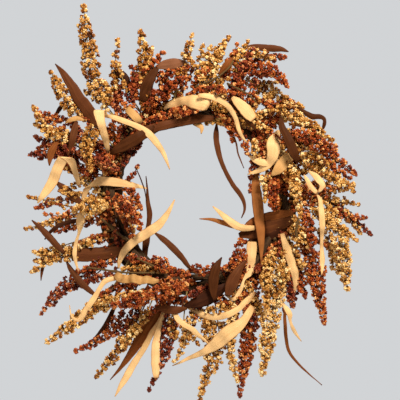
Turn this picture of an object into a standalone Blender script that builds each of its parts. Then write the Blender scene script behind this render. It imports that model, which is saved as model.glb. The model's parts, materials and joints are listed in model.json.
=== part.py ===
"""Harvest door wreath: dried sorghum sprays and corn leaves on a grapevine ring.

Units are metres and +Z is up. The wreath hangs against a door that stands just behind it, and its
front faces -Y. The origin is the hang point: the inner top of the wire loop, where a hook bears.

The ring is a bundle of twisted vine strands. Every seed spray is pushed into a gap between two
strands and then lies on whatever was put in before it, so each spray and leaf takes its depth from
the pieces behind it. A table lists them from the back of the pile to its front.
"""
import math

import bmesh
import bpy
import numpy as np

MM = 0.001

# ---------------------------------------------------------------- driving dimensions
RING_RADIUS = 0.148            # centre of the ring to the middle of the vine bundle
STRAND_COUNT = 5               # strands around the core
STRAND_RADIUS = 0.0055
CORE_RADIUS = 0.004
BUNDLE_RADIUS = 0.0145         # middle of the bundle to the middle of each strand
BUNDLE_TWISTS = 2              # whole turns that the bundle makes on its way round the ring
BUNDLE_SWAY = 0.004            # how far the hand-wound bundle strays from a true circle

TENDRIL_RADIUS = 0.0022        # thin vine wound round the bundle
TENDRIL_TURNS = 1.15
TENDRIL_PITCH = 0.013
TENDRIL_ANGLES = (21, -29, -70)

WIRE_RADIUS = 0.0010           # hanging wire
WIRE_CLEARANCE = 0.0008        # between the wire eye and the strand that it turns on
LOOP_RADIUS = 0.011            # centre line of the hanging loop
NECK_LENGTH = 0.020
NECK_TURNS = 2.25
NECK_SPREAD = 0.00128          # each wire of the twisted neck from the neck's middle
SWING_LIMIT = math.radians(20)

STEM_RADIUS = 0.0014
STEM_DEPTH = 0.0135            # the cut end of a stem from the middle of the bundle
SPRAY_SCALE = 1.0              # overall size of the seed heads
HEAD_TIP_SHARE = 0.32          # a seed head's radius at its tip, as a share of its full radius
LEAF_THICKNESS = 0.0009
LEAF_SCALE = 1.0               # overall width of the leaves
LAY_GAP = 0.0011               # air left between a piece and what it lies on

SAMPLE_STEP = 0.0025           # spacing of the points that test what a piece lies on
LAY_REACH = 0.014              # a piece bends this far ahead of what it climbs over

TUBE_SIDES_RESOLUTION = 1      # gives six-sided tubes
SPRAY_POINT_STEP = 0.015
LEAF_ROWS = 11

# ---------------------------------------------------------------- colours
FINISHES = {
    "vine": ((0.035, 0.022, 0.014), 0.85, 0.0),
    "wire": ((0.10, 0.09, 0.08), 0.45, 0.9),
    "gold": ((0.62, 0.34, 0.10), 0.55, 0.0),
    "rust": ((0.36, 0.08, 0.025), 0.55, 0.0),
    "burgundy": ((0.13, 0.02, 0.012), 0.55, 0.0),
    "cream": ((0.86, 0.62, 0.30), 0.6, 0.0),
    "tan": ((0.50, 0.24, 0.08), 0.6, 0.0),
    "brown": ((0.17, 0.06, 0.025), 0.6, 0.0),
}

# ---------------------------------------------------------------- what is put on the ring
LAYOUT_RING_RADIUS = 0.148     # the ring that the points below were laid out round

# Each seed spray: name, colour, angle on the ring where its stem goes in (degrees, 0 at +X and
# 90 at the top), points that its head follows (x, z in mm from the ring's centre), head radius
# in mm, and how far its tip stands in front of the ring's middle (mm).
BACK_SPRAYS = (
    ("gold_spray_top_left_tall", "gold", 137,
     ((-156, 158), (-174, 200), (-178, 240), (-184, 275), (-187, 314)), 13, 46),
    ("gold_spray_top_left_thin", "gold", 128, ((-130, 165), (-137, 205), (-131, 260)), 8, 26),
    ("gold_spray_top_left", "gold", 118, ((-92, 188), (-86, 230), (-93, 273)), 11, 44),
    ("gold_spray_top", "gold", 104, ((-30, 195), (-17, 232), (-8, 265)), 10, 58),
    ("gold_spray_top_centre", "gold", 84, ((22, 205), (35, 235), (53, 262)), 10, 50),
    ("rust_spray_top_right", "rust", 71, ((72, 205), (105, 228), (147, 231)), 11, 28),
    ("rust_spray_top_right_low", "rust", 64, ((92, 205), (125, 206), (149, 180)), 11, 62),
    ("gold_spray_top_right", "gold", 56, ((105, 180), (135, 165), (176, 147)), 11, 34),
    ("gold_spray_right_high", "gold", 48, ((135, 145), (170, 128), (221, 92)), 12, 60),
    ("rust_spray_right_high", "rust", 39, ((165, 102), (215, 76), (264, 36)), 12, 26),
    ("gold_spray_right", "gold", 29, ((175, 62), (215, 36), (258, 8)), 11, 56),
    ("burgundy_spray_right", "burgundy", 13, ((190, 18), (235, -20), (290, -64)), 11, 22),
    ("gold_spray_right_big", "gold", 4, ((192, -8), (228, -50), (240, -100), (246, -152)), 15, 72),
    ("rust_spray_right_low", "rust", -20, ((176, -72), (195, -130), (211, -211)), 13, 44),
    ("gold_spray_low_right", "gold", -39, ((136, -128), (122, -195), (106, -292)), 15, 76),
    ("rust_spray_bottom_right", "rust", -58, ((90, -185), (80, -255), (71, -331)), 12, 40),
    ("gold_spray_bottom_right", "gold", -64, ((62, -190), (56, -245), (66, -303)), 9, 66),
    ("gold_spray_bottom", "gold", -82, ((17, -200), (22, -265), (2, -347)), 10, 36),
    ("burgundy_spray_bottom", "burgundy", -102, ((-36, -200), (-52, -260), (-80, -322)), 10, 30),
    ("gold_spray_low_left", "gold", -116, ((-95, -198), (-132, -256), (-166, -299)), 11, 40),
    ("gold_spray_left_low_big", "gold", -137, ((-148, -162), (-200, -207), (-247, -240)), 12, 60),
    ("burgundy_spray_left_low", "burgundy", -147, ((-172, -125), (-220, -150), (-260, -196)), 9, 22),
    ("gold_spray_left_low", "gold", -159, ((-192, -82), (-230, -97), (-272, -125)), 10, 50),
    ("gold_spray_left", "gold", -169, ((-202, -30), (-240, -43), (-284, -54)), 8, 30),
    ("burgundy_spray_left_high", "burgundy", 165, ((-205, 58), (-240, 74), (-276, 68)), 11, 36),
    ("gold_spray_left_high", "gold", 157, ((-212, 88), (-248, 108), (-269, 147)), 10, 58),
    ("gold_spray_left_top", "gold", 146, ((-192, 132), (-218, 162), (-241, 205)), 12, 44),
)
FACE_SPRAYS = (
    ("gold_spray_left_column", "gold", 151, ((-166, 112), (-179, 78), (-173, 42)), 11, 84),
    ("gold_spray_right_inner", "gold", 34, ((142, 72), (159, 20), (168, -34)), 11, 88),
    ("gold_spray_face_left", "gold", -174, ((-160, -14), (-178, -18), (-199, -25)), 15, 100),
    ("rust_spray_face_bottom", "rust", -92, ((-26, -147), (-52, -153), (-80, -160)), 14, 95),
    ("rust_spray_face_top", "rust", 98, ((-8, 170), (22, 176), (60, 168)), 8, 78),
)

# Each leaf: name, colour, points of its midrib (x, how far in front of what it lies on, z, in mm),
# full width in mm, and how far it rolls about its midrib at its base and at its tip (degrees).
BACK_LEAVES = (
    ("brown_leaf_top_left", "brown", ((-140, 0, 108), (-183, 0, 155), (-236, 12, 221)), 24, (0, 25)),
    ("brown_leaf_top_right", "brown", ((58, 0, 238), (100, 0, 249), (153, 0, 242)), 11, (0, 10)),
    ("brown_leaf_left_low", "brown", ((-118, 0, -88), (-160, 0, -93), (-208, 4, -96)), 21, (0, -20)),
    ("brown_leaf_hole", "brown",
     ((33, 2, 122), (40, 4, 76), (58, 6, 28), (80, 8, -15), (79, 10, -38)), 12, (10, 40)),
)
FRONT_LEAVES = (
    ("cream_leaf_bottom_long", "cream",
     ((-46, 2, -186), (-76, 3, -228), (-98, 5, -265), (-137, 8, -334)), 13, (0, 25)),
    ("cream_leaf_bottom", "cream", ((-52, 4, -190), (-68, 6, -240), (-68, 8, -301)), 14, (0, 8)),
    ("cream_leaf_upper_left", "cream", ((-160, 6, 138), (-153, 4, 105), (-148, 2, 71)), 16, (0, 20)),
    ("cream_leaf_left", "cream",
     ((-193, 0, -6), (-178, 6, 20), (-145, 8, 25), (-84, 3, 14)), 15, (0, 15)),
    ("cream_leaf_hole_left", "cream",
     ((-130, 2, -122), (-128, 4, -98), (-98, 8, -75), (-62, 12, -50), (-37, 14, -5)), 14, (20, 10)),
    ("tan_leaf_right_inner", "tan",
     ((97, 0, 34), (103, 3, -15), (108, 5, -62), (107, 8, -111)), 16, (0, 10)),
    ("cream_leaf_top", "cream",
     ((-57, 0, 146), (-28, 3, 163), (8, 4, 165), (45, 4, 154), (69, 3, 122), (78, 2, 72)), 11, (10, 10)),
    ("cream_leaf_top_right", "cream",
     ((129, 6, 113), (127, 8, 84), (116, 8, 56), (80, 4, 38)), 20, (0, 35)),
    ("cream_leaf_right", "cream", ((198, 0, 4), (205, 3, -40), (208, 4, -90), (206, 6, -131)), 9, (10, 0)),
    ("cream_leaf_right_low", "cream",
     ((138, 4, -60), (152, 7, -95), (168, 7, -130), (161, 4, -164)), 14, (0, 25)),
    ("cream_leaf_low_inner", "cream",
     ((90, 4, -76), (92, 7, -110), (80, 8, -140), (68, 6, -166), (47, 3, -164)), 15, (10, 50)),
    ("cream_leaf_bottom_arc", "cream",
     ((96, 4, -157), (66, 5, -188), (30, 6, -199), (-24, 3, -177)), 11, (10, 20)),
    ("cream_leaf_bottom_big", "cream",
     ((90, 2, -182), (56, 6, -216), (16, 8, -250), (-41, 6, -284)), 23, (0, 15)),
)
# The folded leaf rises, turns forward over its crest and comes down again, so the direction of
# its width is given too (degrees in the plane of the wreath, 0 along +X).
FOLDED_LEAF = (
    "cream_leaf_left_folded", "cream",
    ((-193, 0, 14), (-201, 1, 42), (-207, 5, 62), (-213, 13, 67), (-219, 20, 58), (-243, 20, 20),
     (-270, 14, -14)),
    23, (14, 10, 4, 0, -10, -34, -36))


# ---------------------------------------------------------------- paths
def smooth_path(points, step):
    """Points about `step` apart along a Catmull-Rom curve through `points`."""
    knots = np.asarray(points, dtype=float)
    before = 2 * knots[0] - knots[1]
    after = 2 * knots[-1] - knots[-2]
    padded = np.vstack((before, knots, after))
    pieces = []
    for index in range(1, len(padded) - 2):
        p0, p1, p2, p3 = padded[index - 1:index + 3]
        share = np.linspace(0, 1, 24, endpoint=False)[:, None]
        pieces.append(0.5 * (2 * p1 + (p2 - p0) * share
                             + (2 * p0 - 5 * p1 + 4 * p2 - p3) * share ** 2
                             + (3 * p1 - p0 - 3 * p2 + p3) * share ** 3))
    pieces.append(knots[-1:])
    dense = np.vstack(pieces)
    distance = path_distances(dense)
    count = max(3, int(round(distance[-1] / step)) + 1)
    even = np.linspace(0, distance[-1], count)
    return np.column_stack([np.interp(even, distance, column) for column in dense.T])


def path_distances(points):
    """Distance along a path of each of its points."""
    steps = np.linalg.norm(np.diff(points, axis=0), axis=1)
    return np.concatenate(([0.0], np.cumsum(steps)))


def unit_rows(vectors):
    return vectors / np.linalg.norm(vectors, axis=1)[:, None]


def carried_out(flat_points):
    """Layout points (x, z) in mm, in metres and moved out or in with the ring's own radius."""
    points = np.array(flat_points, dtype=float) * MM
    reach = np.linalg.norm(points, axis=1)[:, None]
    return points * (reach + RING_RADIUS - LAYOUT_RING_RADIUS) / reach


def bundle_point(angle, offset, turn):
    """A point beside the bundle's middle: `offset` away, at `turn` in its cross-section.

    `turn` is 0 straight out from the ring's centre and a quarter turn towards the front (-Y).
    """
    radius = RING_RADIUS + BUNDLE_SWAY * math.sin(3 * (angle - math.pi / 2)) * 0.5
    depth = -BUNDLE_SWAY * 0.5 * math.sin(2 * (angle - math.pi / 2))
    reach = radius + offset * math.cos(turn)
    return np.array((reach * math.cos(angle), depth - offset * math.sin(turn), reach * math.sin(angle)))


def strand_turn(index, angle):
    """Where strand `index` is in the bundle's cross-section. Strand 0 is outermost at the top."""
    return math.tau * index / STRAND_COUNT + BUNDLE_TWISTS * (angle - math.pi / 2)


def strand_path(index, count):
    angles = np.arange(count) * math.tau / count
    return np.array([bundle_point(a, BUNDLE_RADIUS, strand_turn(index, a)) for a in angles])


def core_path(count):
    angles = np.arange(count) * math.tau / count
    return np.array([bundle_point(a, 0.0, 0.0) for a in angles])


def tendril_path(middle_angle, count):
    """A short coil of thin vine round the bundle."""
    offset = BUNDLE_RADIUS + STRAND_RADIUS + TENDRIL_RADIUS + 0.5 * LAY_GAP
    shares = np.linspace(-0.5, 0.5, count)
    angles = middle_angle + shares * TENDRIL_TURNS * TENDRIL_PITCH / RING_RADIUS
    return np.array([bundle_point(a, offset, -math.pi / 2 + share * TENDRIL_TURNS * math.tau)
                     for a, share in zip(angles, shares)])


def hanger_path():
    """The closed wire of the hanger, from the pivot: eye, twisted neck and hanging loop."""
    eye = STRAND_RADIUS + WIRE_CLEARANCE + WIRE_RADIUS
    opening = math.asin(NECK_SPREAD / eye)
    eye_angles = np.linspace(opening, math.tau - opening, 21)
    eye_points = [(0, eye * math.sin(a), eye * math.cos(a)) for a in eye_angles]
    neck_bottom = eye * math.cos(opening)
    shares = np.linspace(0, 1, 26)[1:-1]

    def neck(side, share):
        turn = math.pi / 2 + share * NECK_TURNS * math.tau
        return (side * NECK_SPREAD * math.cos(turn), side * NECK_SPREAD * math.sin(turn),
                neck_bottom + share * NECK_LENGTH)

    end_side = math.cos(math.pi / 2 + NECK_TURNS * math.tau)
    gap = math.asin(NECK_SPREAD / LOOP_RADIUS)
    loop_middle = neck_bottom + NECK_LENGTH + LOOP_RADIUS * math.cos(gap)
    loop_angles = np.linspace(gap, math.tau - gap, 25)
    up = [neck(-1, share) for share in shares]
    loop_side = -1 if end_side > 0 else 1
    loop = [(loop_side * LOOP_RADIUS * math.sin(a), 0, loop_middle - LOOP_RADIUS * math.cos(a))
            for a in loop_angles]
    down = [neck(1, share) for share in shares[::-1]]
    return np.array(eye_points + up + loop + down)


def hang_height():
    """The inner top of the hanging loop, above the pivot."""
    return hanger_path()[:, 2].max() - WIRE_RADIUS


# ---------------------------------------------------------------- the pile
class Pile:
    """Balls that fill the pieces placed so far, used to lay the next piece on top of them."""

    def __init__(self):
        self.centres = np.zeros((0, 3))
        self.radii = np.zeros(0)

    def add(self, centres, radii):
        self.centres = np.vstack((self.centres, centres))
        self.radii = np.concatenate((self.radii, np.broadcast_to(radii, len(centres))))

    def front_of(self, points, radii):
        """How far back (largest y) each ball of a new piece may go and still clear the pile."""
        limit = np.full(len(points), np.inf)
        for index, (point, radius) in enumerate(zip(points, np.broadcast_to(radii, len(points)))):
            reach = self.radii + radius + LAY_GAP
            away = (self.centres[:, 0] - point[0]) ** 2 + (self.centres[:, 2] - point[2]) ** 2
            near = away < reach ** 2
            if near.any():
                limit[index] = np.min(self.centres[near, 1] - np.sqrt(reach[near] ** 2 - away[near]))
        return limit


def laid_profile(limit, step):
    """A smooth line that stays in front of `limit`: its running least, then running mean."""
    reach = max(1, int(round(LAY_REACH / step)))
    padded = np.pad(limit, 2 * reach, mode="edge")
    least = np.array([padded[i:i + 2 * reach + 1].min() for i in range(len(padded) - 2 * reach)])
    window = np.ones(2 * reach + 1) / (2 * reach + 1)
    return np.convolve(least, window, mode="valid")


def socket_points(angle, outward):
    """The cut end of a stem, deep in a gap of the bundle, and where it leaves the gap."""
    wanted = math.atan2(1.0, 0.7 * outward)
    turns = [strand_turn(index + 0.5, angle) for index in range(STRAND_COUNT)]
    best = max(turns, key=lambda turn: math.cos(turn - wanted))
    leaving = BUNDLE_RADIUS + STRAND_RADIUS + 2 * STEM_RADIUS
    return bundle_point(angle, STEM_DEPTH, best), bundle_point(angle, leaving, best)


def head_radii(distance, head_start, radius):
    """Stem radius up to the head, a swelling head, and a tapered tip."""
    stem = STEM_RADIUS
    swell = np.clip((distance - head_start + 0.020) / 0.030, 0, 1)
    swell = swell * swell * (3 - 2 * swell)
    share = np.clip((distance - head_start) / (distance[-1] - head_start), 0, 1)
    taper = 1 - (1 - HEAD_TIP_SHARE) * share ** 2.2
    return stem + (radius * taper - stem) * swell


def lay_spray(pile, ring_angle, head_points, radius, tip_depth):
    """The middle line of a spray and its radii, laid on the pile, which then holds it."""
    angle = math.radians(ring_angle)
    heads = carried_out(head_points)
    outward = math.copysign(1.0, np.linalg.norm(heads[0]) - RING_RADIUS)
    cut_end, mouth = socket_points(angle, outward)
    flat = smooth_path(np.vstack((mouth[[0, 2]], heads)), SAMPLE_STEP)
    distance = path_distances(flat)
    first = np.argmin(np.linalg.norm(flat - heads[0], axis=1))
    radii = head_radii(distance, distance[first], radius * MM * SPRAY_SCALE)
    share = distance / distance[-1]
    wish = mouth[1] + (-tip_depth * MM - mouth[1]) * share * share * (3 - 2 * share)
    points = np.column_stack((flat[:, 0], wish, flat[:, 1]))
    limit = np.minimum(wish, pile.front_of(points, radii))
    points[:, 1] = laid_profile(limit, SAMPLE_STEP)
    points[0] = mouth
    pile.add(points, radii)
    count = max(6, int(round(distance[-1] / SPRAY_POINT_STEP)) + 1)
    even = np.linspace(0, distance[-1], count)
    line = np.column_stack([np.interp(even, distance, column) for column in points.T])
    return np.vstack((cut_end, line)), np.concatenate(([STEM_RADIUS], np.interp(even, distance, radii)))


def leaf_width(share):
    """Half the width of a leaf along its length, as a share of its full width."""
    swell = np.sin(math.pi * np.clip(share, 0, 1) ** 0.75) ** 0.6
    return 0.5 * (0.16 + 0.84 * swell)


def lay_leaf(pile, spine, width, rolls, side_angles=None):
    """Rows of left, middle and right points of a leaf, laid on the pile, which then holds it."""
    knots = np.array(spine, dtype=float)
    flat_knots = carried_out(knots[:, [0, 2]])
    line = smooth_path(np.column_stack((flat_knots[:, 0], -knots[:, 1] * MM, flat_knots[:, 1])), SAMPLE_STEP)
    share = path_distances(line) / path_distances(line)[-1]
    flat = np.gradient(line[:, [0, 2]], axis=0)
    if side_angles is None:
        flat = unit_rows(flat)
        roll = np.radians(rolls[0] + (rolls[1] - rolls[0]) * share)
        sides = np.column_stack((flat[:, 1] * np.cos(roll), np.sin(roll), -flat[:, 0] * np.cos(roll)))
    else:
        turn = np.radians(np.interp(share, np.linspace(0, 1, len(side_angles)), side_angles))
        sides = np.column_stack((np.cos(turn), np.zeros(len(turn)), np.sin(turn)))
    half = (leaf_width(share) * width * MM * LEAF_SCALE)[:, None]
    limit = np.full(len(line), np.inf)
    for across in np.linspace(-1, 1, 7):
        points = line + sides * half * across
        clear = pile.front_of(points, 0.5 * LEAF_THICKNESS + 0.0006)
        limit = np.minimum(limit, clear - points[:, 1])
    limit = np.minimum(limit, -(RING_RADIUS * 0.1))
    line[:, 1] += laid_profile(limit, SAMPLE_STEP)
    for across in np.linspace(-1, 1, 7):
        pile.add(line + sides * half * across, 0.5 * LEAF_THICKNESS + 0.0006)
    rows = np.linspace(0, 1, LEAF_ROWS)
    middle = np.column_stack([np.interp(rows, share, column) for column in line.T])
    side = np.column_stack([np.interp(rows, share, column) for column in (sides * half).T])
    return middle - side, middle, middle + side


# ---------------------------------------------------------------- Blender objects
def clear_scene():
    for old in list(bpy.data.objects):
        bpy.data.objects.remove(old, do_unlink=True)


def make_finish(name):
    colour, roughness, metallic = FINISHES[name]
    finish = bpy.data.materials.new(name)
    finish.use_nodes = True
    shader = finish.node_tree.nodes["Principled BSDF"]
    shader.inputs["Base Color"].default_value = (*colour, 1.0)
    shader.inputs["Roughness"].default_value = roughness
    shader.inputs["Metallic"].default_value = metallic
    return finish


def make_pivot(collection, name, height):
    pivot = bpy.data.objects.new(name, None)
    pivot.location = (0, 0, height)
    collection.objects.link(pivot)
    return pivot


def add_object(data, name, finish, collection, parent, offset):
    piece = bpy.data.objects.new(name, data)
    data.materials.append(make_finish(finish))
    piece.parent = parent
    piece.location = offset
    collection.objects.link(piece)
    return piece


def tube_curve(name, points, radii, closed):
    """A tube along a line of points, with its own radius at each."""
    curve = bpy.data.curves.new(name, "CURVE")
    curve.dimensions = "3D"
    curve.bevel_depth = 1.0
    curve.bevel_resolution = TUBE_SIDES_RESOLUTION
    curve.use_fill_caps = not closed
    spline = curve.splines.new("POLY")
    spline.points.add(len(points) - 1)
    for knot, point, radius in zip(spline.points, points, np.broadcast_to(radii, len(points))):
        knot.co = (*point, 1.0)
        knot.radius = float(radius)
    spline.use_cyclic_u = closed
    return curve


def leaf_mesh(name, left, middle, right):
    """An open leaf surface, bent from a flat grid."""
    build = bmesh.new()
    bmesh.ops.create_grid(build, x_segments=2, y_segments=LEAF_ROWS - 1, size=1.0)
    across = (left, middle, right)
    for vertex in build.verts:
        column = int(round(vertex.co.x + 1))
        row = int(round((vertex.co.y + 1) / 2 * (LEAF_ROWS - 1)))
        vertex.co = across[column][row]
    mesh = bpy.data.meshes.new(name)
    build.to_mesh(mesh)
    build.free()
    return mesh


def thicken(piece):
    solid = piece.modifiers.new("thickness", "SOLIDIFY")
    solid.thickness = LEAF_THICKNESS
    solid.offset = 0.0


# ---------------------------------------------------------------- the wreath
def build_hanger(collection):
    pivot = make_pivot(collection, "hanger_pivot", -hang_height())
    curve = tube_curve("hanging_loop", hanger_path(), WIRE_RADIUS, closed=True)
    add_object(curve, "hanging_loop", "wire", collection, pivot, (0, 0, 0))


def hanger_sweep():
    """The hanger's wire at several tilts within its swing, in the ring's own coordinates."""
    wire = hanger_path()
    centre = bundle_point(math.pi / 2, BUNDLE_RADIUS, 0.0)
    for tilt in np.linspace(0, SWING_LIMIT, 7):
        forward = wire[:, 1] * math.cos(tilt) - wire[:, 2] * math.sin(tilt)
        upward = wire[:, 1] * math.sin(tilt) + wire[:, 2] * math.cos(tilt)
        yield np.column_stack((wire[:, 0], forward, upward)) + centre


def build_ring(place, pile):
    for index in range(STRAND_COUNT):
        name = f"vine_strand_{index + 1}"
        place(tube_curve(name, strand_path(index, 40), STRAND_RADIUS, closed=True), name, "vine")
        pile.add(strand_path(index, 360), STRAND_RADIUS)
    place(tube_curve("vine_core", core_path(36), CORE_RADIUS, closed=True), "vine_core", "vine")
    for index, degrees in enumerate(TENDRIL_ANGLES):
        name = f"vine_tendril_{index + 1}"
        path = tendril_path(math.radians(degrees), 17)
        place(tube_curve(name, path, TENDRIL_RADIUS, closed=False), name, "vine")
        pile.add(tendril_path(math.radians(degrees), 80), TENDRIL_RADIUS)


def build_sprays(place, pile, sprays):
    for name, colour, ring_angle, head_points, radius, tip_depth in sprays:
        line, radii = lay_spray(pile, ring_angle, head_points, radius, tip_depth)
        place(tube_curve(name, line, radii, closed=False), name, colour)


def build_leaf(place, pile, name, colour, spine, width, rolls, side_angles=None):
    left, middle, right = lay_leaf(pile, spine, width, rolls, side_angles)
    thicken(place(leaf_mesh(name, left, middle, right), name, colour))


def build_wreath():
    clear_scene()
    collection = bpy.data.collections.new("harvest_door_wreath")
    bpy.context.scene.collection.children.link(collection)
    build_hanger(collection)

    pivot = make_pivot(collection, "wreath_pivot", -hang_height())
    ring_offset = -bundle_point(math.pi / 2, BUNDLE_RADIUS, 0.0)

    def place(data, name, finish):
        return add_object(data, name, finish, collection, pivot, ring_offset)

    pile = Pile()
    build_ring(place, pile)
    for wire in hanger_sweep():
        pile.add(wire, WIRE_RADIUS)
    build_sprays(place, pile, BACK_SPRAYS)
    for leaf in BACK_LEAVES:
        build_leaf(place, pile, *leaf)
    build_sprays(place, pile, FACE_SPRAYS)
    for leaf in FRONT_LEAVES:
        build_leaf(place, pile, *leaf)
    name, colour, spine, width, side_angles = FOLDED_LEAF
    build_leaf(place, pile, name, colour, spine, width, None, side_angles)


build_wreath()
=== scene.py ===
"""The looks of a harvest door wreath: seed sprays, dry corn leaves and rough vine round its frame.

Units are metres, +Z is up and the front faces -Y. Positions in the tables are millimetres from the
ring's centre, which is worked out from the frame, and depths are millimetres in front of the
ring's middle plane.
"""
import json
import math

import bpy
import numpy as np
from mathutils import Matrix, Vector


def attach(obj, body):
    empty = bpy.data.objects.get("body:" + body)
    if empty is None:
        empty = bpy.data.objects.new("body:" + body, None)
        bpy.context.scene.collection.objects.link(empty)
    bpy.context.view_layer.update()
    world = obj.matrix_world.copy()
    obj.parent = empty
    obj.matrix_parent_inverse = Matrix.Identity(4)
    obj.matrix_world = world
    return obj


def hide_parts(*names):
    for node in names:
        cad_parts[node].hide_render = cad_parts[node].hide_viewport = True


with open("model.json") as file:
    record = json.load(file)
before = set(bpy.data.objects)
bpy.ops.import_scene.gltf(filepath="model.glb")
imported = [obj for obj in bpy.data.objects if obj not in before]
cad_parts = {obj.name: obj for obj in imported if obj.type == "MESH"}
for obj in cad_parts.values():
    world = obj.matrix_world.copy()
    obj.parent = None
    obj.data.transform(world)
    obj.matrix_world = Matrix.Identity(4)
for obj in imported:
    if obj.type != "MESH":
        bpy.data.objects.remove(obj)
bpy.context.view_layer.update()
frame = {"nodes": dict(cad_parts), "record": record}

MM = 0.001

# ---------------------------------------------------------------- the ring, from the frame
RING_RADIUS = 0.148
BUNDLE_RADIUS = 0.0145                   # middle of the bundle to the middle of each strand
PIVOT_HEIGHT = frame["record"]["behaviour"]["joints"][0]["pos_m"][2]
RING_CENTRE = np.array((0.0, 0.0, PIVOT_HEIGHT - RING_RADIUS - BUNDLE_RADIUS))
FRAME_TUBE_SIDES = 6
PATH_SAMPLES = 24                        # of each stretch of an open curve
LOOP_SAMPLES = 8                         # of each stretch of a closed one

# ---------------------------------------------------------------- seeds and stems
SEED_LENGTH = 0.0042
SEED_WIDTH = 0.0034
SEED_SEGMENTS = 5
SEED_RINGS = (0.16, 0.52, 0.85)          # heights of a seed's rings, as shares of its length
SEED_RING_WIDTHS = (0.66, 1.0, 0.60)
HUSK_HEIGHT = 0.30                       # share of a seed that its husk covers
WHORL_STEP = 0.0082                      # between the whorls of clumps along a head
WHORL_TURN = 1.1                         # from each whorl to the next, in radians
CLUMP_STEP = 0.0070                      # between the clumps of a whorl
CLUMP_RING = 0.62                        # how far out a whorl's clumps sit, as a share of its radius
CLUMP_RADIUS = 0.0040
SEEDS_PER_CLUMP = 10
OUTER_SEEDS = 6                          # of those, the ones on the clump's outer side
SEED_SPIN = 2.4                          # round its clump, from each seed to the next, in radians
TWIG_RADIUS = 0.00045
STEM_RADIUS = 0.0015
STEM_TIP_RADIUS = 0.0006
STEM_DEPTH = 15                          # of a stem's root, in mm
HEAD_START = 2.2                         # stem radii that a spray is thick where its head starts
HEAD_SWELL = 1.22                        # a seed head's own radius, against the frame's solid
THIN_SHARE = 0.95                        # of that, for the sprays between those of the frame
CAP_SHARE = 0.03                         # of its part of the maps that each end cap of a tube takes

# The parts of the maps that seeds, stems and twigs use: lowest and highest corners. Across a
# seed's part runs its tone, in steps, and up it runs the height on the seed.
SEED_MAP = (0.0, 0.0, 1.0, 0.72)
STEM_MAP = (0.0, 0.74, 1.0, 0.88)
TWIG_MAP = (0.0, 0.90, 1.0, 1.0)
WHOLE_MAP = (0.0, 0.0, 1.0, 1.0)
TONE_STEPS = 24

# Colour stops along a seed's tone, from the darkest seed to the lightest (linear colours).
SEED_TONES = {
    "gold": ((0.0, (0.060, 0.011, 0.001)), (0.22, (0.22, 0.056, 0.006)), (0.5, (0.47, 0.205, 0.034)),
             (0.75, (0.76, 0.44, 0.135)), (1.0, (0.98, 0.76, 0.40))),
    "rust": ((0.0, (0.042, 0.005, 0.001)), (0.3, (0.15, 0.018, 0.003)), (0.6, (0.34, 0.060, 0.009)),
             (0.85, (0.60, 0.190, 0.038)), (1.0, (0.84, 0.44, 0.16))),
    "burgundy": ((0.0, (0.024, 0.003, 0.001)), (0.4, (0.105, 0.012, 0.004)), (0.7, (0.22, 0.032, 0.009)),
                 (0.9, (0.42, 0.105, 0.030)), (1.0, (0.62, 0.26, 0.10))),
}
MIDDLE_TONES = {"gold": 0.60, "rust": 0.58, "burgundy": 0.66}
STEM_COLOURS = {
    "gold": ((0.20, 0.13, 0.045), (0.38, 0.26, 0.10)),
    "rust": ((0.10, 0.035, 0.015), (0.24, 0.10, 0.04)),
    "burgundy": ((0.045, 0.012, 0.010), (0.12, 0.040, 0.025)),
}

# ---------------------------------------------------------------- leaves
LEAF_COLUMNS = 15
LEAF_ROW_STEP = 0.0026
LEAF_HALF_THICKNESS = 0.00035
LEAF_LEAST_HALF = 0.0007                 # least half width, at a leaf's tips
LEAF_WANDER = ((0.0009, 118), (0.0006, 251))   # how far a leaf strays from flat, and how often
RIPPLE_RATES = (260, 215)                # of the ripples along its two edges
RIB_RATE = 22                            # of the ribs across it
WEAR_STEPS = 31                          # along a leaf's worn edge

# Body, streaks, blotches and edges of each colour of leaf.
LEAF_COLOURS = {
    "cream": ((0.82, 0.54, 0.255), (0.62, 0.335, 0.120), (0.68, 0.385, 0.145), (0.40, 0.165, 0.042)),
    "straw": ((0.58, 0.33, 0.12), (0.40, 0.185, 0.052), (0.48, 0.235, 0.070), (0.20, 0.070, 0.018)),
    "faded": ((0.200, 0.078, 0.036), (0.120, 0.042, 0.018), (0.25, 0.108, 0.055), (0.070, 0.022, 0.009)),
    "tan": ((0.32, 0.118, 0.032), (0.20, 0.062, 0.015), (0.27, 0.088, 0.022), (0.11, 0.030, 0.009)),
    "russet": ((0.190, 0.056, 0.013), (0.105, 0.026, 0.006), (0.26, 0.086, 0.018), (0.050, 0.012, 0.003)),
    "brown": ((0.105, 0.032, 0.011), (0.052, 0.014, 0.004), (0.155, 0.052, 0.015), (0.026, 0.007, 0.002)),
    "umber": ((0.062, 0.018, 0.005), (0.034, 0.009, 0.002), (0.100, 0.031, 0.008), (0.018, 0.005, 0.001)),
    "dark": ((0.042, 0.012, 0.005), (0.019, 0.006, 0.002), (0.070, 0.021, 0.008), (0.010, 0.004, 0.002)),
}
SHINY_LEAVES = ("cream", "straw")

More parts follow.
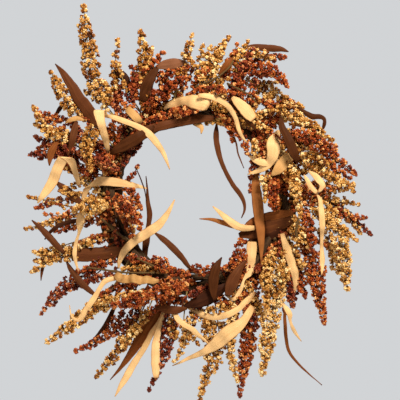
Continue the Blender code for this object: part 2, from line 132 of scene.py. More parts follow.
# Each leaf: colour; how its cross-section folds and curls, how much its edges ripple and how far
# it twists along its length (degrees); then points along its midrib (x, depth, z), half the width
# there and, where it is folded over, the direction of its width (degrees from +X towards +Z).
# The first stand for the frame's leaves of the same names, and the others lie between them.
LEAVES = {
    "brown_leaf_top_left": ("brown", (0.1, 0.4, 0.15, 6), ((-236, 26, 220, 0.8), (-226, 33, 209, 4),
        (-216, 39, 195, 6.5), (-206, 43, 180, 8.6), (-198, 45, 165, 10.2), (-187, 44, 150, 11.2),
        (-177, 40, 136, 11), (-168, 32, 124, 9), (-160, 27, 115, 5))),
    "brown_leaf_top_right": ("brown", (0.1, 0.5, 0.2, 10), ((60, 15, 236, 0.8), (72, 17, 243, 1.8),
        (84, 18, 248, 3), (94, 18, 249, 4.4), (104, 18, 248, 5.6), (119, 17, 247, 6), (131, 16, 246, 5.6),
        (142, 15, 245, 4.2), (153, 14, 241, 0.8))),
    "brown_leaf_hole": ("brown", (0.1, 0.5, 0.3, 30), ((33, 16, 121, 1.5), (32, 17, 104, 4.6),
        (34, 18, 84, 5), (39, 18, 62, 4), (48, 19, 40, 3.5), (59, 20, 20, 3.8), (71, 21, 4, 4),
        (78, 22, -10, 3), (79, 23, -24, 2), (74, 24, -37, 0.7))),
    "cream_leaf_bottom_long": ("cream", (0.1, 0.4, 0.2, 10), ((-56, 16, -190, 1.5), (-64, 17, -210, 3),
        (-74, 17, -226, 4.3), (-84, 18, -246, 5), (-97, 19, -267, 5.1), (-108, 20, -284, 5.8),
        (-118, 20, -302, 5.8), (-128, 21, -318, 3.6), (-137, 22, -334, 0.7))),
    "cream_leaf_bottom": ("cream", (0.1, 0.5, 0.15, 0), ((-54, 20, -193, 1.6), (-62, 22, -215, 4),
        (-67, 26, -236, 5.9), (-69, 32, -255, 7), (-69, 36, -274, 7.4), (-68, 38, -291, 6.2),
        (-68, 38, -301, 4))),
    "cream_leaf_bottom_big": ("cream", (0.05, 0.5, 0.2, 6), ((92, 48, -182, 5), (84, 55, -194, 6.4),
        (77, 59, -205, 7.4), (65, 62, -215, 10.4), (52, 62, -224, 12), (40, 58, -235, 11.6),
        (29, 52, -245, 9.6), (14, 42, -256, 6.2), (-1, 33, -264, 4.4), (-14, 26, -270, 3.2),
        (-28, 22, -277, 1.8), (-41, 20, -283, 0.6))),
    "tan_leaf_right_inner": ("tan", (0.1, 0.3, 0.2, 6), ((98, 16, 40, 2), (98, 17, 30, 6),
        (98, 18, 16, 7.8), (100, 19, -2, 8.7), (102, 20, -20, 9), (104, 22, -40, 8.4), (106, 24, -60, 7),
        (107, 25, -78, 5), (107, 25, -96, 2.8), (107, 24, -111, 0.7))),
    "cream_leaf_right": ("cream", (0.1, 0.35, 0.15, 8), ((197, 52, 5, 1.2), (203, 57, -9, 3.6),
        (205, 59, -32, 5), (206, 58, -51, 4.4), (206, 50, -67, 3), (206, 42, -83, 2.8),
        (207, 41, -103, 4.2), (207, 43, -118, 3), (206, 43, -131, 0.6))),
    "cream_leaf_left_folded": ("cream", (0.0, 0.2, 0.08, 0), ((-265, 29, -12, 1, -32),
        (-253, 33, 4, 6, -31), (-240, 36, 23, 8.7, -30), (-229, 43, 48, 8.7, -27), (-221, 50, 61, 9.5, -12),
        (-217, 52, 65, 10, -3), (-212, 50, 62, 9, 4), (-206, 46, 54, 6.5, 14), (-201, 40, 39, 5, 17),
        (-196, 32, 18, 3, 16))),
    "cream_leaf_left": ("cream", (0.0, 0.3, 0.1, 0), ((-84, 18, 13, 1, 100), (-97, 21, 16, 3.5, 98),
        (-111, 23, 19, 5.5, 95), (-128, 24, 22, 6.8, 92), (-144, 25, 24, 7.4, 90), (-158, 26, 25, 7.8, 84),
        (-168, 27, 24, 9.5, 62), (-175, 27, 23, 11, 43), (-181, 24, 15, 8, 22), (-187, 20, 3, 4.8, 6),
        (-191, 15, -11, 3.5, 0))),
    "cream_leaf_upper_left": ("cream", (0.05, 0.3, 0.1, 0), ((-147, 32, 70, 1, 20), (-148, 44, 80, 4, 16),
        (-151, 56, 95, 5.9, 12), (-155, 66, 112, 6.6, 8), (-158, 70, 125, 7.6, 4), (-160, 70, 137, 8.8, 2),
        (-159, 67, 141, 9, 0), (-156, 62, 138, 8.6, -6), (-151, 56, 129, 7, -14))),
    "cream_leaf_top": ("cream", (0.0, 0.7, 0.35, 0), ((-56, 22, 145, 1), (-48, 27, 150, 4),
        (-39, 33, 153, 6.5), (-22, 48, 157, 7.5), (-7, 62, 155, 11.5), (8, 70, 152, 13),
        (16, 70, 149, 11.5), (20, 64, 147, 8))),
    "cream_leaf_top_right": ("cream", (0.06, 0.45, 0.2, 0), ((136, 32, 109, 2.4), (130, 42, 98, 8),
        (126, 50, 86, 11.8), (126, 52, 74, 11), (122, 48, 60, 8.4), (113, 40, 48, 6), (99, 31, 41, 3.6),
        (84, 25, 36, 0.8))),
    "cream_leaf_low_inner": ("cream", (0.05, 0.5, 0.3, 0), ((92, 19, -76, 9.3), (91, 22, -94, 8.3),
        (90, 24, -114, 6.5), (86, 27, -129, 5.6), (78, 30, -139, 2.2), (73, 34, -154, 3.3),
        (61, 36, -171, 3.4), (46, 28, -164, 0.8))),
    "cream_leaf_right_low": ("cream", (0.1, 0.45, 0.25, 0), ((141, 36, -62, 3.4), (145, 39, -76, 5.2),
        (151, 38, -94, 7), (157, 35, -112, 7.2), (163, 32, -132, 6), (164, 28, -150, 3.8),
        (161, 24, -163, 0.7))),
    "cream_leaf_bottom_arc": ("cream", (0.05, 0.6, 0.25, 0), ((96, 21, -160, 3.6), (85, 31, -172, 5.4),
        (68, 48, -186, 5), (48, 52, -196, 5.7), (23, 40, -200, 5.4), (2, 28, -194, 5), (-13, 21, -186, 3.4),
        (-23, 18, -178, 0.7))),
    "cream_leaf_hole_left": ("cream", (0.05, 0.5, 0.2, 0), ((-37, 29, -6, 0.9), (-48, 28, -27, 4),
        (-63, 28, -47, 7), (-84, 27, -62, 8.3), (-105, 26, -76, 7.2), (-121, 25, -92, 6.2),
        (-129, 24, -109, 3.6), (-131, 23, -121, 1.2))),
    "brown_leaf_left_low": ("brown", (0.15, 0.3, 0.15, 0), ((-120, 22, -90, 5), (-136, 24, -92, 9.4),
        (-156, 27, -95, 10.8), (-176, 37, -97, 11.4), (-194, 43, -98, 11.2), (-207, 47, -99, 8))),
    "cream_strip_upper_left": ("cream", (0.1, 0.45, 0.15, 10), ((-151, 54, 133, 2), (-136, 60, 129, 4),
        (-120, 62, 123, 4.6), (-104, 61, 117, 4.4), (-90, 60, 110, 5.2), (-78, 58, 101, 6),
        (-67, 54, 88, 5.4), (-55, 47, 70, 3.8), (-45, 40, 44, 0.7))),
    "straw_leaf_upper_left": ("straw", (0.05, 0.3, 0.1, 0), ((-117, 46, 145, 5.5), (-110, 52, 139, 6.6),
        (-102, 55, 131, 6.8), (-96, 52, 124, 6.2), (-93, 46, 119, 4))),
    "cream_leaf_top_right_b": ("cream", (0.05, 0.3, 0.1, 0), ((58, 50, 163, 3), (67, 58, 154, 7.4),
        (77, 61, 144, 9.2), (86, 59, 134, 9.4), (93, 55, 126, 6))),
    "cream_strip_top": ("cream", (0.1, 0.4, 0.15, 10), ((2, 72, 164, 3), (20, 74, 163, 4.6),
        (38, 70, 156, 4.6), (52, 62, 146, 4.4), (63, 54, 129, 3.8), (69, 46, 110, 3.4), (75, 40, 98, 2.6),
        (83, 36, 88, 0.8))),
    "straw_tip_top": ("straw", (0.1, 0.5, 0.2, 0), ((-6, 36, 122, 4.6), (3, 40, 118, 4.8),
        (8, 42, 112, 3.4), (7, 40, 103, 0.8))),
    "straw_leaf_right_fold": ("straw", (0.05, 0.35, 0.15, 0), ((123, 48, 34, 1.5), (131, 52, 41, 7),
        (140, 54, 51, 10), (150, 52, 62, 9.4), (157, 47, 69, 4))),
    "cream_strip_right_fold": ("cream", (0.1, 0.5, 0.2, 10), ((86, 34, 67, 1), (96, 38, 60, 4.8),
        (110, 41, 55, 6), (126, 42, 56, 5.4), (140, 40, 60, 2))),
    "cream_strip_right_a": ("cream", (0.1, 0.4, 0.1, 0), ((176, 52, 35, 1.2), (181, 58, 26, 3.4),
        (187, 60, 15, 4.4), (197, 58, 5, 3))),
    "cream_strip_right_b": ("cream", (0.1, 0.4, 0.1, 0), ((184, 50, 41, 1.2), (192, 57, 35, 4.4),
        (199, 60, 28, 5.6), (206, 60, 17, 5), (200, 57, 6, 1.6))),
    "cream_strip_hole_right": ("cream", (0.1, 0.5, 0.2, 12), ((98, 17, -53, 3.6), (84, 22, -54, 5.4),
        (69, 26, -51, 6.4), (54, 28, -41, 5.8), (40, 29, -29, 4), (26, 29, -17, 0.8))),
    "tan_strip_hole_right": ("tan", (0.1, 0.4, 0.2, 10), ((74, 16, -54, 3), (60, 18, -50, 4),
        (42, 20, -44, 4.2), (24, 21, -39, 2.8), (4, 21, -38, 0.7))),
    "cream_strip_bottom": ("cream", (0.1, 0.5, 0.2, 60), ((-38, 44, -188, 3.4), (-32, 48, -202, 4.8),
        (-21, 48, -212, 4.4), (-8, 46, -220, 4.6), (4, 42, -232, 3.6), (24, 38, -248, 0.7))),
    "straw_strip_low_left": ("cream", (0.1, 0.5, 0.2, 20), ((-124, 50, -136, 3), (-138, 55, -136, 4),
        (-151, 57, -140, 4.4), (-160, 58, -152, 3.6), (-168, 58, -166, 4.4), (-180, 56, -184, 5),
        (-190, 54, -199, 5), (-199, 53, -204, 3.4), (-207, 52, -196, 1.4), (-210, 50, -180, 0.5))),
    "cream_strip_left": ("cream", (0.1, 0.5, 0.1, 0), ((-191, 72, -27, 4), (-190, 74, -38, 7.4),
        (-191, 73, -49, 5.2), (-193, 70, -61, 2.4), (-198, 64, -76, 2.8), (-201, 58, -94, 3.6),
        (-199, 53, -111, 2.4), (-195, 49, -125, 0.5))),
    "straw_leaf_wrinkled": ("straw", (0.05, 0.4, 0.9, 0), ((-134, 56, -128, 5), (-127, 63, -134, 7.4),
        (-116, 56, -137, 7), (-104, 66, -135, 7.4), (-92, 57, -139, 7), (-81, 64, -137, 6.4),
        (-71, 58, -140, 5), (-62, 56, -139, 2))),
    "cream_strip_right_low": ("cream", (0.1, 0.5, 0.1, 30), ((140, 66, -176, 1.2), (147, 71, -185, 4.4),
        (152, 72, -195, 4.2), (153, 68, -206, 2.2), (160, 60, -222, 3), (172, 52, -240, 0.5))),
    "straw_strip_left": ("straw", (0.1, 0.5, 0.2, 10), ((-219, 40, 120, 1), (-208, 45, 126, 3.8),
        (-197, 46, 128, 4), (-186, 44, 125, 1.4))),
    "dark_leaf_top_left_a": ("dark", (0.2, 0.8, 0.3, 20), ((-140, 26, 196, 2), (-130, 32, 203, 6.5),
        (-120, 34, 196, 7), (-112, 34, 180, 4))),
    # This umber leaf stands for the lower part of the faded leaf beside it, which lies in shade: its dark
    # colour is painted shade.
    "painted_shade_leaf_top_b": ("umber", (0.15, 0.5, 0.2, 0), ((-90, 38, 156, 7), (-85, 46, 174, 9.4),
        (-78, 50, 192, 9), (-68, 48, 208, 5), (-62, 45, 214, 1))),
    "faded_leaf_top_e": ("faded", (0.1, 0.5, 0.2, 10), ((-66, 46, 211, 2), (-57, 51, 215, 7),
        (-45, 53, 217, 9), (-31, 52, 219, 7.6), (-17, 48, 221, 1))),
    "brown_leaf_top_c": ("russet", (0.2, 0.5, 0.2, 10), ((36, 54, 200, 2), (44, 60, 209, 5.4),
        (52, 62, 219, 5), (60, 60, 228, 1))),
    "brown_strip_top_right": ("umber", (0.2, 0.5, 0.3, 10), ((52, 40, 160, 2.4), (64, 46, 148, 4.4),
        (76, 50, 134, 5), (87, 50, 121, 4.4), (98, 46, 108, 2))),
    "brown_leaf_right": ("umber", (0.12, 0.4, 0.15, 6), ((138, 58, 129, 2.6), (139, 66, 114, 5.6),
        (146, 72, 99, 7.2), (153, 74, 84, 8.2), (159, 73, 69, 7.8), (166, 68, 56, 4))),
    "brown_leaf_right_inner": ("brown", (0.1, 0.4, 0.25, 8), ((158, 30, -40, 6), (138, 28, -47, 11),
        (120, 20, -52, 13), (104, 12, -56, 13), (88, 10, -61, 11), (70, 12, -66, 4))),
    "russet_leaf_right_inner": ("russet", (0.15, 0.4, 0.25, 8), ((160, 34, -28, 4), (142, 31, -30, 7),
        (122, 23, -34, 8), (104, 14, -39, 8), (90, 12, -46, 7), (77, 14, -57, 4))),
    "dark_leaf_right_inner": ("dark", (0.1, 0.4, 0.25, 8), ((152, 26, -52, 5), (130, 23, -60, 10),
        (106, 10, -68, 10), (84, 8, -78, 2))),
    "brown_strip_bottom_a": ("umber", (0.1, 0.4, 0.15, 6), ((41, 48, -101, 1), (32, 54, -117, 6.6),
        (27, 56, -137, 8.8), (27, 54, -157, 6.4), (29, 50, -172, 1.4))),
    "brown_leaf_bottom_b": ("brown", (0.12, 0.4, 0.2, 6), ((81, 42, -107, 2), (70, 50, -120, 6.4),
        (61, 54, -135, 9.6), (55, 54, -150, 9.8), (50, 50, -165, 4))),
    "brown_leaf_bottom_c": ("brown", (0.2, 0.6, 0.3, 10), ((-68, 42, -184, 3), (-50, 50, -187, 7),
        (-32, 48, -188, 6.4), (-16, 42, -186, 2))),
    "dark_leaf_bottom_d": ("dark", (0.2, 0.6, 0.3, 10), ((-22, 36, -184, 3), (4, 42, -174, 11),
        (28, 42, -162, 12), (50, 36, -148, 5))),
    "brown_leaf_hole_left": ("brown", (0.2, 0.5, 0.3, 15), ((-86, -6, 34, 0.7), (-84, -9, 12, 1.8),
        (-83, -12, -10, 3.6), (-80, -13, -30, 4.6), (-82, -13, -50, 4.2), (-86, -12, -76, 6),
        (-89, -6, -104, 4))),
    "brown_strip_hole_low": ("brown", (0.2, 0.5, 0.3, 20), ((-72, 26, -60, 1), (-58, 30, -70, 4.6),
        (-40, 32, -86, 5.6), (-24, 32, -104, 4.8), (-10, 30, -122, 3))),
    "dark_strip_left": ("dark", (0.1, 0.5, 0.2, 10), ((-188, 40, -40, 3), (-208, 44, -42, 3.8),
        (-228, 44, -49, 3.6), (-243, 42, -60, 2.8), (-252, 40, -72, 1))),
    "brown_strip_left_b": ("brown", (0.2, 0.5, 0.3, 15), ((-218, 52, -94, 3), (-230, 56, -82, 5.2),
        (-244, 57, -66, 5.6), (-258, 54, -52, 4.4), (-272, 50, -40, 1))),
    "brown_spike_left": ("brown", (0.1, 0.5, 0.2, 10), ((-246, 40, -88, 3), (-252, 42, -104, 3.4),
        (-256, 42, -122, 2.8), (-258, 40, -140, 0.6))),
    "brown_strip_left_c": ("brown", (0.2, 0.6, 0.3, 10), ((-216, 40, -108, 1.4), (-208, 44, -122, 4.4),
        (-196, 46, -138, 5.8), (-182, 46, -152, 5), (-165, 44, -166, 2))),
    "dark_strip_low_left": ("dark", (0.1, 0.5, 0.2, 10), ((-136, 24, -182, 3), (-144, 28, -200, 4),
        (-156, 28, -220, 3.4), (-176, 26, -242, 0.6))),
    "brown_leaf_low_left": ("russet", (0.15, 0.5, 0.3, 8), ((-60, 12, -184, 6), (-74, 13, -205, 12.6),
        (-90, 12, -231, 11.4), (-110, 10, -263, 6.4), (-130, 9, -290, 2.8), (-146, 8, -308, 0.6))),
    "brown_strip_left_d": ("brown", (0.15, 0.5, 0.2, 10), ((-199, 46, 124, 3), (-202, 50, 108, 6),
        (-206, 50, 90, 5.6), (-214, 44, 66, 1))),
    "russet_leaf_left_e": ("russet", (0.15, 0.6, 0.3, 10), ((-229, 48, 92, 1.4), (-236, 53, 80, 5.6),
        (-241, 54, 68, 6), (-243, 50, 50, 1))),
    "brown_leaf_inner_left": ("umber", (0.15, 0.5, 0.2, 8), ((-142, 52, 70, 3), (-126, 60, 80, 9),
        (-106, 64, 90, 10), (-88, 60, 101, 7.6), (-70, 52, 115, 2))),
    "russet_twig_bottom_right": ("russet", (0.2, 0.6, 0.2, 20), ((145, 40, -190, 2.2), (146, 42, -214, 3),
        (148, 42, -240, 2.8), (155, 42, -262, 2.4), (174, 40, -284, 1.8), (190, 38, -299, 1),
        (207, 36, -313, 0.4))),
    "dark_strip_top_right": ("umber", (0.1, 0.6, 0.2, 20), ((166, 40, 147, 2), (180, 44, 137, 4),
        (191, 46, 131, 5), (202, 46, 131, 4.4), (210, 44, 127, 3.2), (210, 42, 117, 3),
        (205, 40, 104, 0.6))),
    "dark_leaf_top_left_b": ("dark", (0.2, 0.6, 0.2, 10), ((-92, 30, 150, 5), (-86, 34, 168, 9.4),
        (-80, 36, 190, 9), (-70, 34, 212, 3))),
    "brown_strip_inner_top_a": ("brown", (0.15, 0.5, 0.3, 10), ((-126, 40, 80, 2), (-104, 44, 98, 5),
        (-80, 46, 110, 7), (-52, 46, 117, 7.6), (-22, 44, 124, 5))),
    "brown_strip_inner_top_b": ("brown", (0.15, 0.5, 0.3, 10), ((-48, 38, 112, 1.4), (-28, 44, 121, 6.6),
        (0, 46, 127, 7.4), (28, 44, 129, 4))),
    "dark_strip_left_top": ("dark", (0.2, 0.6, 0.2, 10), ((-222, 26, 154, 2), (-227, 28, 147, 3.6),
        (-232, 28, 139, 3), (-237, 26, 132, 0.6))),
    "brown_leaf_behind_fold": ("brown", (0.15, 0.5, 0.2, 8), ((-232, 30, 22, 3), (-220, 33, 12, 7),
        (-206, 34, 0, 7.6), (-190, 32, -14, 4))),
    "brown_strand_hole_right": ("brown", (0.1, 0.5, 0.1, 0), ((60, 28, 104, 0.8), (65, 30, 88, 1.4),
        (68, 30, 72, 1.3), (73, 30, 58, 1.1), (78, 30, 46, 0.5))),
    "dark_twig_hole_left": ("dark", (0.1, 0.5, 0.1, 0), ((-101, 34, 46, 0.8), (-94, 36, 30, 1),
        (-87, 34, 10, 1), (-84, 30, -8, 0.7))),
}
# Leaves that seeds may cover; the others lie on top of the seeds where they pass.
COVERED_LEAVES = ("brown_leaf_top_right", "brown_leaf_hole", "brown_leaf_hole_left", "brown_strip_hole_low",
                  "brown_leaf_low_left", "brown_strip_left_c", "dark_strip_low_left", "dark_strip_left_top",
                  "dark_leaf_top_left_a", "dark_leaf_top_left_b", "dark_leaf_right_inner",
                  "dark_leaf_bottom_d", "brown_leaf_behind_fold", "dark_twig_hole_left", "brown_spike_left",
                  "dark_strip_top_right", "brown_leaf_top_c", "straw_tip_top", "russet_twig_bottom_right",
                  "dark_strip_left")

# ---------------------------------------------------------------- where the sprays go
# Frame sprays that differ from the others: how much wider their heads are, and how far their tone is
# shifted, which is painted shade where it goes down and painted light where it goes up.
SPRAY_LOOKS = {
    "gold_spray_top_left_tall": (1.18, -0.17),
    "gold_spray_top_left_thin": (1.15, -0.13),
    "gold_spray_top_left": (1.2, -0.08),
    "gold_spray_left_top": (1.0, -0.08),
    "gold_spray_left_column": (1.1, -0.15),
    "gold_spray_low_left": (1.0, -0.12),
    "gold_spray_top": (1.1, -0.05),
    "gold_spray_bottom": (1.1, 0.0),
    "burgundy_spray_left_low": (1.3, 0.05),
    "rust_spray_face_top": (1.0, -0.05),
    "rust_spray_top_right": (1.0, -0.10),
    "gold_spray_low_right": (1.1, 0.11),
    "gold_spray_bottom_right": (1.0, 0.08),
    "gold_spray_face_left": (1.0, 0.06),
    "gold_spray_right_inner": (1.0, 0.04),
    "rust_spray_top_right_low": (1.0, -0.08),
}

# Sprays between those of the frame: angle on the ring (degrees), points that the head follows
# (x, z), its radius, the depth of its tip, and how full of seeds it is.
MORE_SPRAYS = {
    "rust_spray_top_left": (112, ((-82, 185), (-72, 215), (-57, 237)), 11, 46, 1.0),
    "gold_sprig_top": (96, ((2, 205), (6, 232), (10, 250)), 7, 40, 0.8),
    "gold_sprig_top_b": (78, ((42, 200), (62, 228), (80, 250)), 9, 40, 0.9),
    "burgundy_sprig_right_low": (-28, ((160, -95), (166, -140), (162, -183)), 9, 20, 0.9),
    "gold_sprig_bottom_left": (-94, ((-10, -200), (-18, -235), (-37, -273)), 9, 46, 0.7),
    "rust_sprig_low_left": (-125, ((-125, -195), (-160, -236), (-202, -258)), 10, 26, 0.85),
    "gold_sprig_left_thin": (-176, ((-205, -18), (-240, -9), (-280, -1)), 7, 26, 0.6),
    "rust_spray_left_face": (-160, ((-130, -8), (-114, -22), (-98, -44)), 13, 78, 1.0),
    "rust_spray_left_inner": (166, ((-146, 42), (-150, 58), (-138, 70)), 13, 66, 1.0),
    "rust_spray_ring_low_left": (-125, ((-82, -160), (-106, -172), (-136, -178)), 12, 76, 1.0),
    "gold_sprig_ring_low_left": (-128, ((-72, -158), (-110, -163), (-160, -172)), 9, 66, 0.9),
    "rust_spray_ring_top_left": (128, ((-86, 146), (-55, 172), (-20, 196)), 12, 52, 1.0),
    "rust_sprig_top_face": (100, ((-42, 136), (-22, 144), (0, 140)), 11, 64, 0.9),
    "rust_sprig_inner_right": (50, ((58, 124), (75, 97), (84, 70)), 9, 40, 0.9),
    "rust_sprig_inner_right_b": (12, ((116, 22), (128, -6), (132, -32)), 11, 48, 0.9),
    "rust_sprig_bottom_inner": (-48, ((84, -92), (62, -112), (38, -120)), 10, 44, 0.9),
    "rust_sprig_bottom_inner_b": (-42, ((74, -74), (68, -92), (56, -104)), 8, 40, 0.8),
    "rust_spray_bottom_inner_c": (-120, ((-70, -106), (-45, -122), (-14, -130)), 11, 50, 1.0),
    "rust_sprig_bottom_inner_d": (-98, ((-10, -120), (12, -124), (32, -112)), 9, 44, 0.9),
    "gold_sprig_bottom_face": (-70, ((70, -166), (42, -184), (8, -192)), 11, 42, 0.9),
    "gold_sprig_bottom_face_b": (-84, ((8, -196), (26, -214), (56, -212)), 10, 34, 0.9),
    "burgundy_sprig_bottom_right": (-62, ((84, -186), (94, -204), (100, -216)), 10, 46, 0.9),
    "gold_sprig_right_inner_b": (38, ((152, 108), (166, 82), (183, 50)), 7, 64, 0.9),
    "rust_sprig_right": (30, ((182, 96), (206, 90), (230, 84)), 9, 34, 0.8),
    "gold_sprig_right_c": (42, ((146, 130), (176, 118), (206, 97)), 10, 52, 0.9),
    "gold_sprig_right_d": (10, ((200, 22), (225, 11), (247, 12)), 9, 42, 0.9),
    "gold_sprig_right_e": (0, ((214, -5), (240, -8), (268, -14)), 8, 34, 0.8),
    "rust_sprig_right_f": (-4, ((224, -24), (252, -34), (280, -35)), 8, 36, 0.8),
    "gold_sprig_right_g": (-8, ((205, -30), (228, -46), (262, -72)), 9, 58, 0.9),
    "gold_sprig_right_h": (-14, ((200, -56), (222, -84), (224, -120)), 9, 34, 0.9),
    "rust_sprig_right_i": (-6, ((172, -20), (186, -52), (190, -92)), 10, 46, 0.9),
    "rust_sprig_inner_right_c": (48, ((98, 114), (106, 88), (112, 62)), 11, 36, 1.0),
    "rust_sprig_inner_right_d": (62, ((48, 128), (54, 110), (60, 92)), 8, 36, 0.9),
    "gold_sprig_inner_right_e": (36, ((98, 92), (96, 76), (104, 62)), 8, 44, 0.9),
    "rust_sprig_hole_left": (172, ((-120, 26), (-106, 36), (-99, 50)), 5, 30, 0.7),
    "rust_spray_left_edge": (156, ((-205, 92), (-240, 120), (-270, 146)), 10, 30, 0.9),
    "burgundy_spray_left_edge": (160, ((-200, 70), (-235, 82), (-268, 98)), 11, 36, 0.9),
    "rust_sprig_top_right_e": (56, ((100, 160), (130, 150), (158, 158)), 9, 34, 0.9),
    "gold_sprig_top_right_f": (66, ((70, 190), (102, 186), (134, 190)), 9, 30, 0.9),
    "rust_sprig_top_g": (92, ((-6, 178), (4, 200), (26, 216)), 9, 40, 1.0),
    "gold_sprig_top_h": (86, ((10, 170), (28, 186), (52, 194)), 9, 44, 0.9),
    "burgundy_sprig_top_left": (122, ((-110, 158), (-102, 184), (-95, 200)), 10, 36, 1.0),
    "burgundy_sprig_top_left_b": (131, ((-136, 148), (-127, 174), (-121, 192)), 10, 30, 1.0),
    "gold_sprig_top_left_c": (134, ((-152, 146), (-144, 170), (-151, 188)), 9, 44, 0.9),
    "rust_sprig_top_d": (106, ((-62, 190), (-42, 205), (-14, 213)), 9, 50, 0.9),
    "burgundy_spray_top_right": (74, ((58, 190), (78, 215), (93, 242)), 11, 46, 1.0),
    "burgundy_sprig_top_right_b": (62, ((95, 188), (112, 205), (122, 198)), 9, 50, 0.9),
    "gold_sprig_top_right_c": (68, ((76, 224), (98, 238), (126, 228)), 9, 42, 0.9),
    "gold_sprig_left_low_b": (-152, ((-170, -72), (-195, -90), (-216, -106)), 10, 48, 0.9),
    "gold_sprig_left_low_c": (-158, ((-226, -84), (-250, -95), (-270, -92)), 10, 40, 0.9),
    "rust_sprig_left_c": (-166, ((-194, -22), (-222, -33), (-252, -30)), 7, 30, 0.6),
    "burgundy_sprig_left_low_b": (-144, ((-180, -140), (-205, -150), (-230, -166)), 8, 28, 0.6),
    "gold_sprig_low_left_b": (-136, ((-136, -170), (-170, -186), (-206, -199)), 10, 50, 0.9),
    "burgundy_sprig_low_left_c": (-120, ((-100, -190), (-118, -214), (-140, -232)), 11, 34, 0.9),
    "gold_sprig_low_left_d": (-114, ((-84, -195), (-104, -224), (-124, -250)), 9, 44, 0.8),
    "burgundy_sprig_bottom_b": (-104, ((-50, -200), (-60, -234), (-58, -262)), 9, 24, 0.8),
    "rust_sprig_bottom_right_b": (-60, ((80, -200), (92, -244), (85, -282)), 9, 36, 0.8),
    "gold_sprig_bottom_right_c": (-68, ((54, -208), (50, -244), (58, -286)), 8, 30, 0.8),
    "gold_spray_low_right_b": (-30, ((150, -76), (143, -125), (131, -166)), 12, 58, 1.0),
    "gold_spray_low_right_c": (-42, ((126, -92), (112, -138), (112, -182)), 11, 78, 1.0),
    "gold_sprig_inner_right_f": (52, ((90, 126), (108, 137), (130, 142)), 9, 34, 0.9),
    "rust_sprig_inner_right_g": (46, ((104, 116), (117, 131), (128, 150)), 8, 28, 0.9),
    "burgundy_sprig_face_left": (160, ((-164, 64), (-148, 54), (-130, 44)), 10, 76, 1.0),
    "gold_sprig_crown_a": (114, ((-86, 202), (-80, 226), (-74, 246)), 8, 40, 0.9),
    "rust_sprig_crown_b": (120, ((-102, 168), (-104, 192), (-108, 214)), 9, 40, 0.9),
    "gold_sprig_crown_c": (124, ((-116, 176), (-124, 198), (-129, 218)), 6, 42, 0.8),
    "gold_sprig_crown_d": (84, ((16, 208), (30, 230), (44, 246)), 8, 44, 0.9),
    "gold_sprig_crown_e": (76, ((46, 208), (60, 230), (70, 244)), 8, 34, 0.9),
    "rust_sprig_crown_f": (64, ((80, 150), (90, 168), (96, 186)), 9, 42, 0.9),
    "rust_sprig_crown_g": (70, ((54, 160), (64, 182), (70, 206)), 8, 44, 0.9),
    "rust_sprig_edge_a": (150, ((-205, 118), (-238, 132), (-266, 138)), 9, 26, 0.9),
    "gold_sprig_edge_b": (158, ((-205, 98), (-238, 108), (-268, 118)), 8, 40, 0.8),
    "rust_sprig_edge_c": (162, ((-200, 84), (-236, 88), (-264, 80)), 8, 34, 0.8),
    "burgundy_sprig_edge_d": (166, ((-205, 68), (-238, 70), (-262, 62)), 9, 26, 0.9),
    "rust_sprig_edge_e": (168, ((-170, 38), (-196, 46), (-224, 58)), 9, 34, 0.9),
    "gold_sprig_edge_f": (172, ((-166, 22), (-192, 22), (-218, 14)), 8, 38, 0.9),
    "rust_sprig_edge_g": (-178, ((-210, -6), (-242, -12), (-268, -20)), 8, 24, 0.8),
    "gold_sprig_edge_h": (-156, ((-212, -98), (-244, -104), (-268, -108)), 8, 34, 0.9),
    "rust_sprig_edge_i": (-146, ((-142, -106), (-168, -116), (-198, -124)), 9, 30, 0.9),
    "burgundy_sprig_edge_j": (-142, ((-138, -126), (-164, -136), (-192, -144)), 9, 24, 0.9),
    "rust_sprig_low_f": (-106, ((-50, -160), (-32, -172), (-12, -180)), 10, 42, 0.9),
    "gold_sprig_low_g": (-96, ((-22, -212), (-12, -230), (2, -246)), 8, 30, 0.8),
    "gold_sprig_low_h": (-100, ((-44, -210), (-34, -230), (-20, -244)), 8, 36, 0.8),
    "gold_sprig_low_i": (-80, ((38, -238), (36, -266), (30, -292)), 8, 36, 0.8),
    "burgundy_sprig_right_j": (-36, ((148, -132), (153, -158), (158, -182)), 10, 34, 0.9),
    "rust_sprig_right_k": (-32, ((156, -112), (174, -142), (180, -168)), 9, 26, 0.9),
    "rust_sprig_right_l": (14, ((198, 62), (226, 48), (252, 30)), 9, 48, 0.9),
    "gold_sprig_right_m": (10, ((196, 42), (228, 30), (258, 18)), 9, 50, 0.9),
    "gold_sprig_right_n": (28, ((164, 86), (188, 70), (214, 54)), 9, 60, 0.9),
    "gold_sprig_right_o": (-10, ((232, -22), (256, -42), (272, -62)), 8, 30, 0.8),
    "gold_sprig_right_p": (-24, ((222, -84), (232, -114), (242, -140)), 9, 40, 0.9),
    "rust_sprig_right_q": (-30, ((200, -96), (208, -124), (210, -150)), 8, 42, 0.9),
    "rust_sprig_hole_a": (-174, ((-112, -10), (-99, -30), (-94, -54)), 9, 46, 0.9),
    "rust_sprig_hole_e": (-166, ((-122, -34), (-110, -52), (-104, -74)), 8, 60, 0.9),
    "rust_sprig_hole_b": (176, ((-116, 12), (-102, -2), (-92, -20)), 8, 44, 0.9),
    "gold_sprig_hole_c": (-172, ((-116, -20), (-106, -38), (-104, -58)), 7, 56, 0.9),
    "rust_sprig_hole_d": (30, ((108, 66), (100, 46), (100, 24)), 8, 34, 0.9),
    "burgundy_sprig_upper_a": (148, ((-172, 88), (-192, 104), (-204, 122)), 9, 34, 0.9),
    "rust_sprig_upper_b": (160, ((-166, 52), (-184, 62), (-198, 72)), 8, 40, 0.9),
    "rust_sprig_upper_c": (140, ((-142, 102), (-138, 120), (-134, 136)), 9, 38, 0.9),
    "rust_sprig_upper_d": (116, ((-92, 112), (-62, 130), (-26, 142)), 11, 42, 1.0),
    "gold_sprig_crown_h": (87, ((8, 196), (14, 222), (22, 247)), 9, 40, 0.9),
    "gold_sprig_crown_i": (82, ((24, 196), (32, 216), (38, 242)), 9, 46, 0.9),
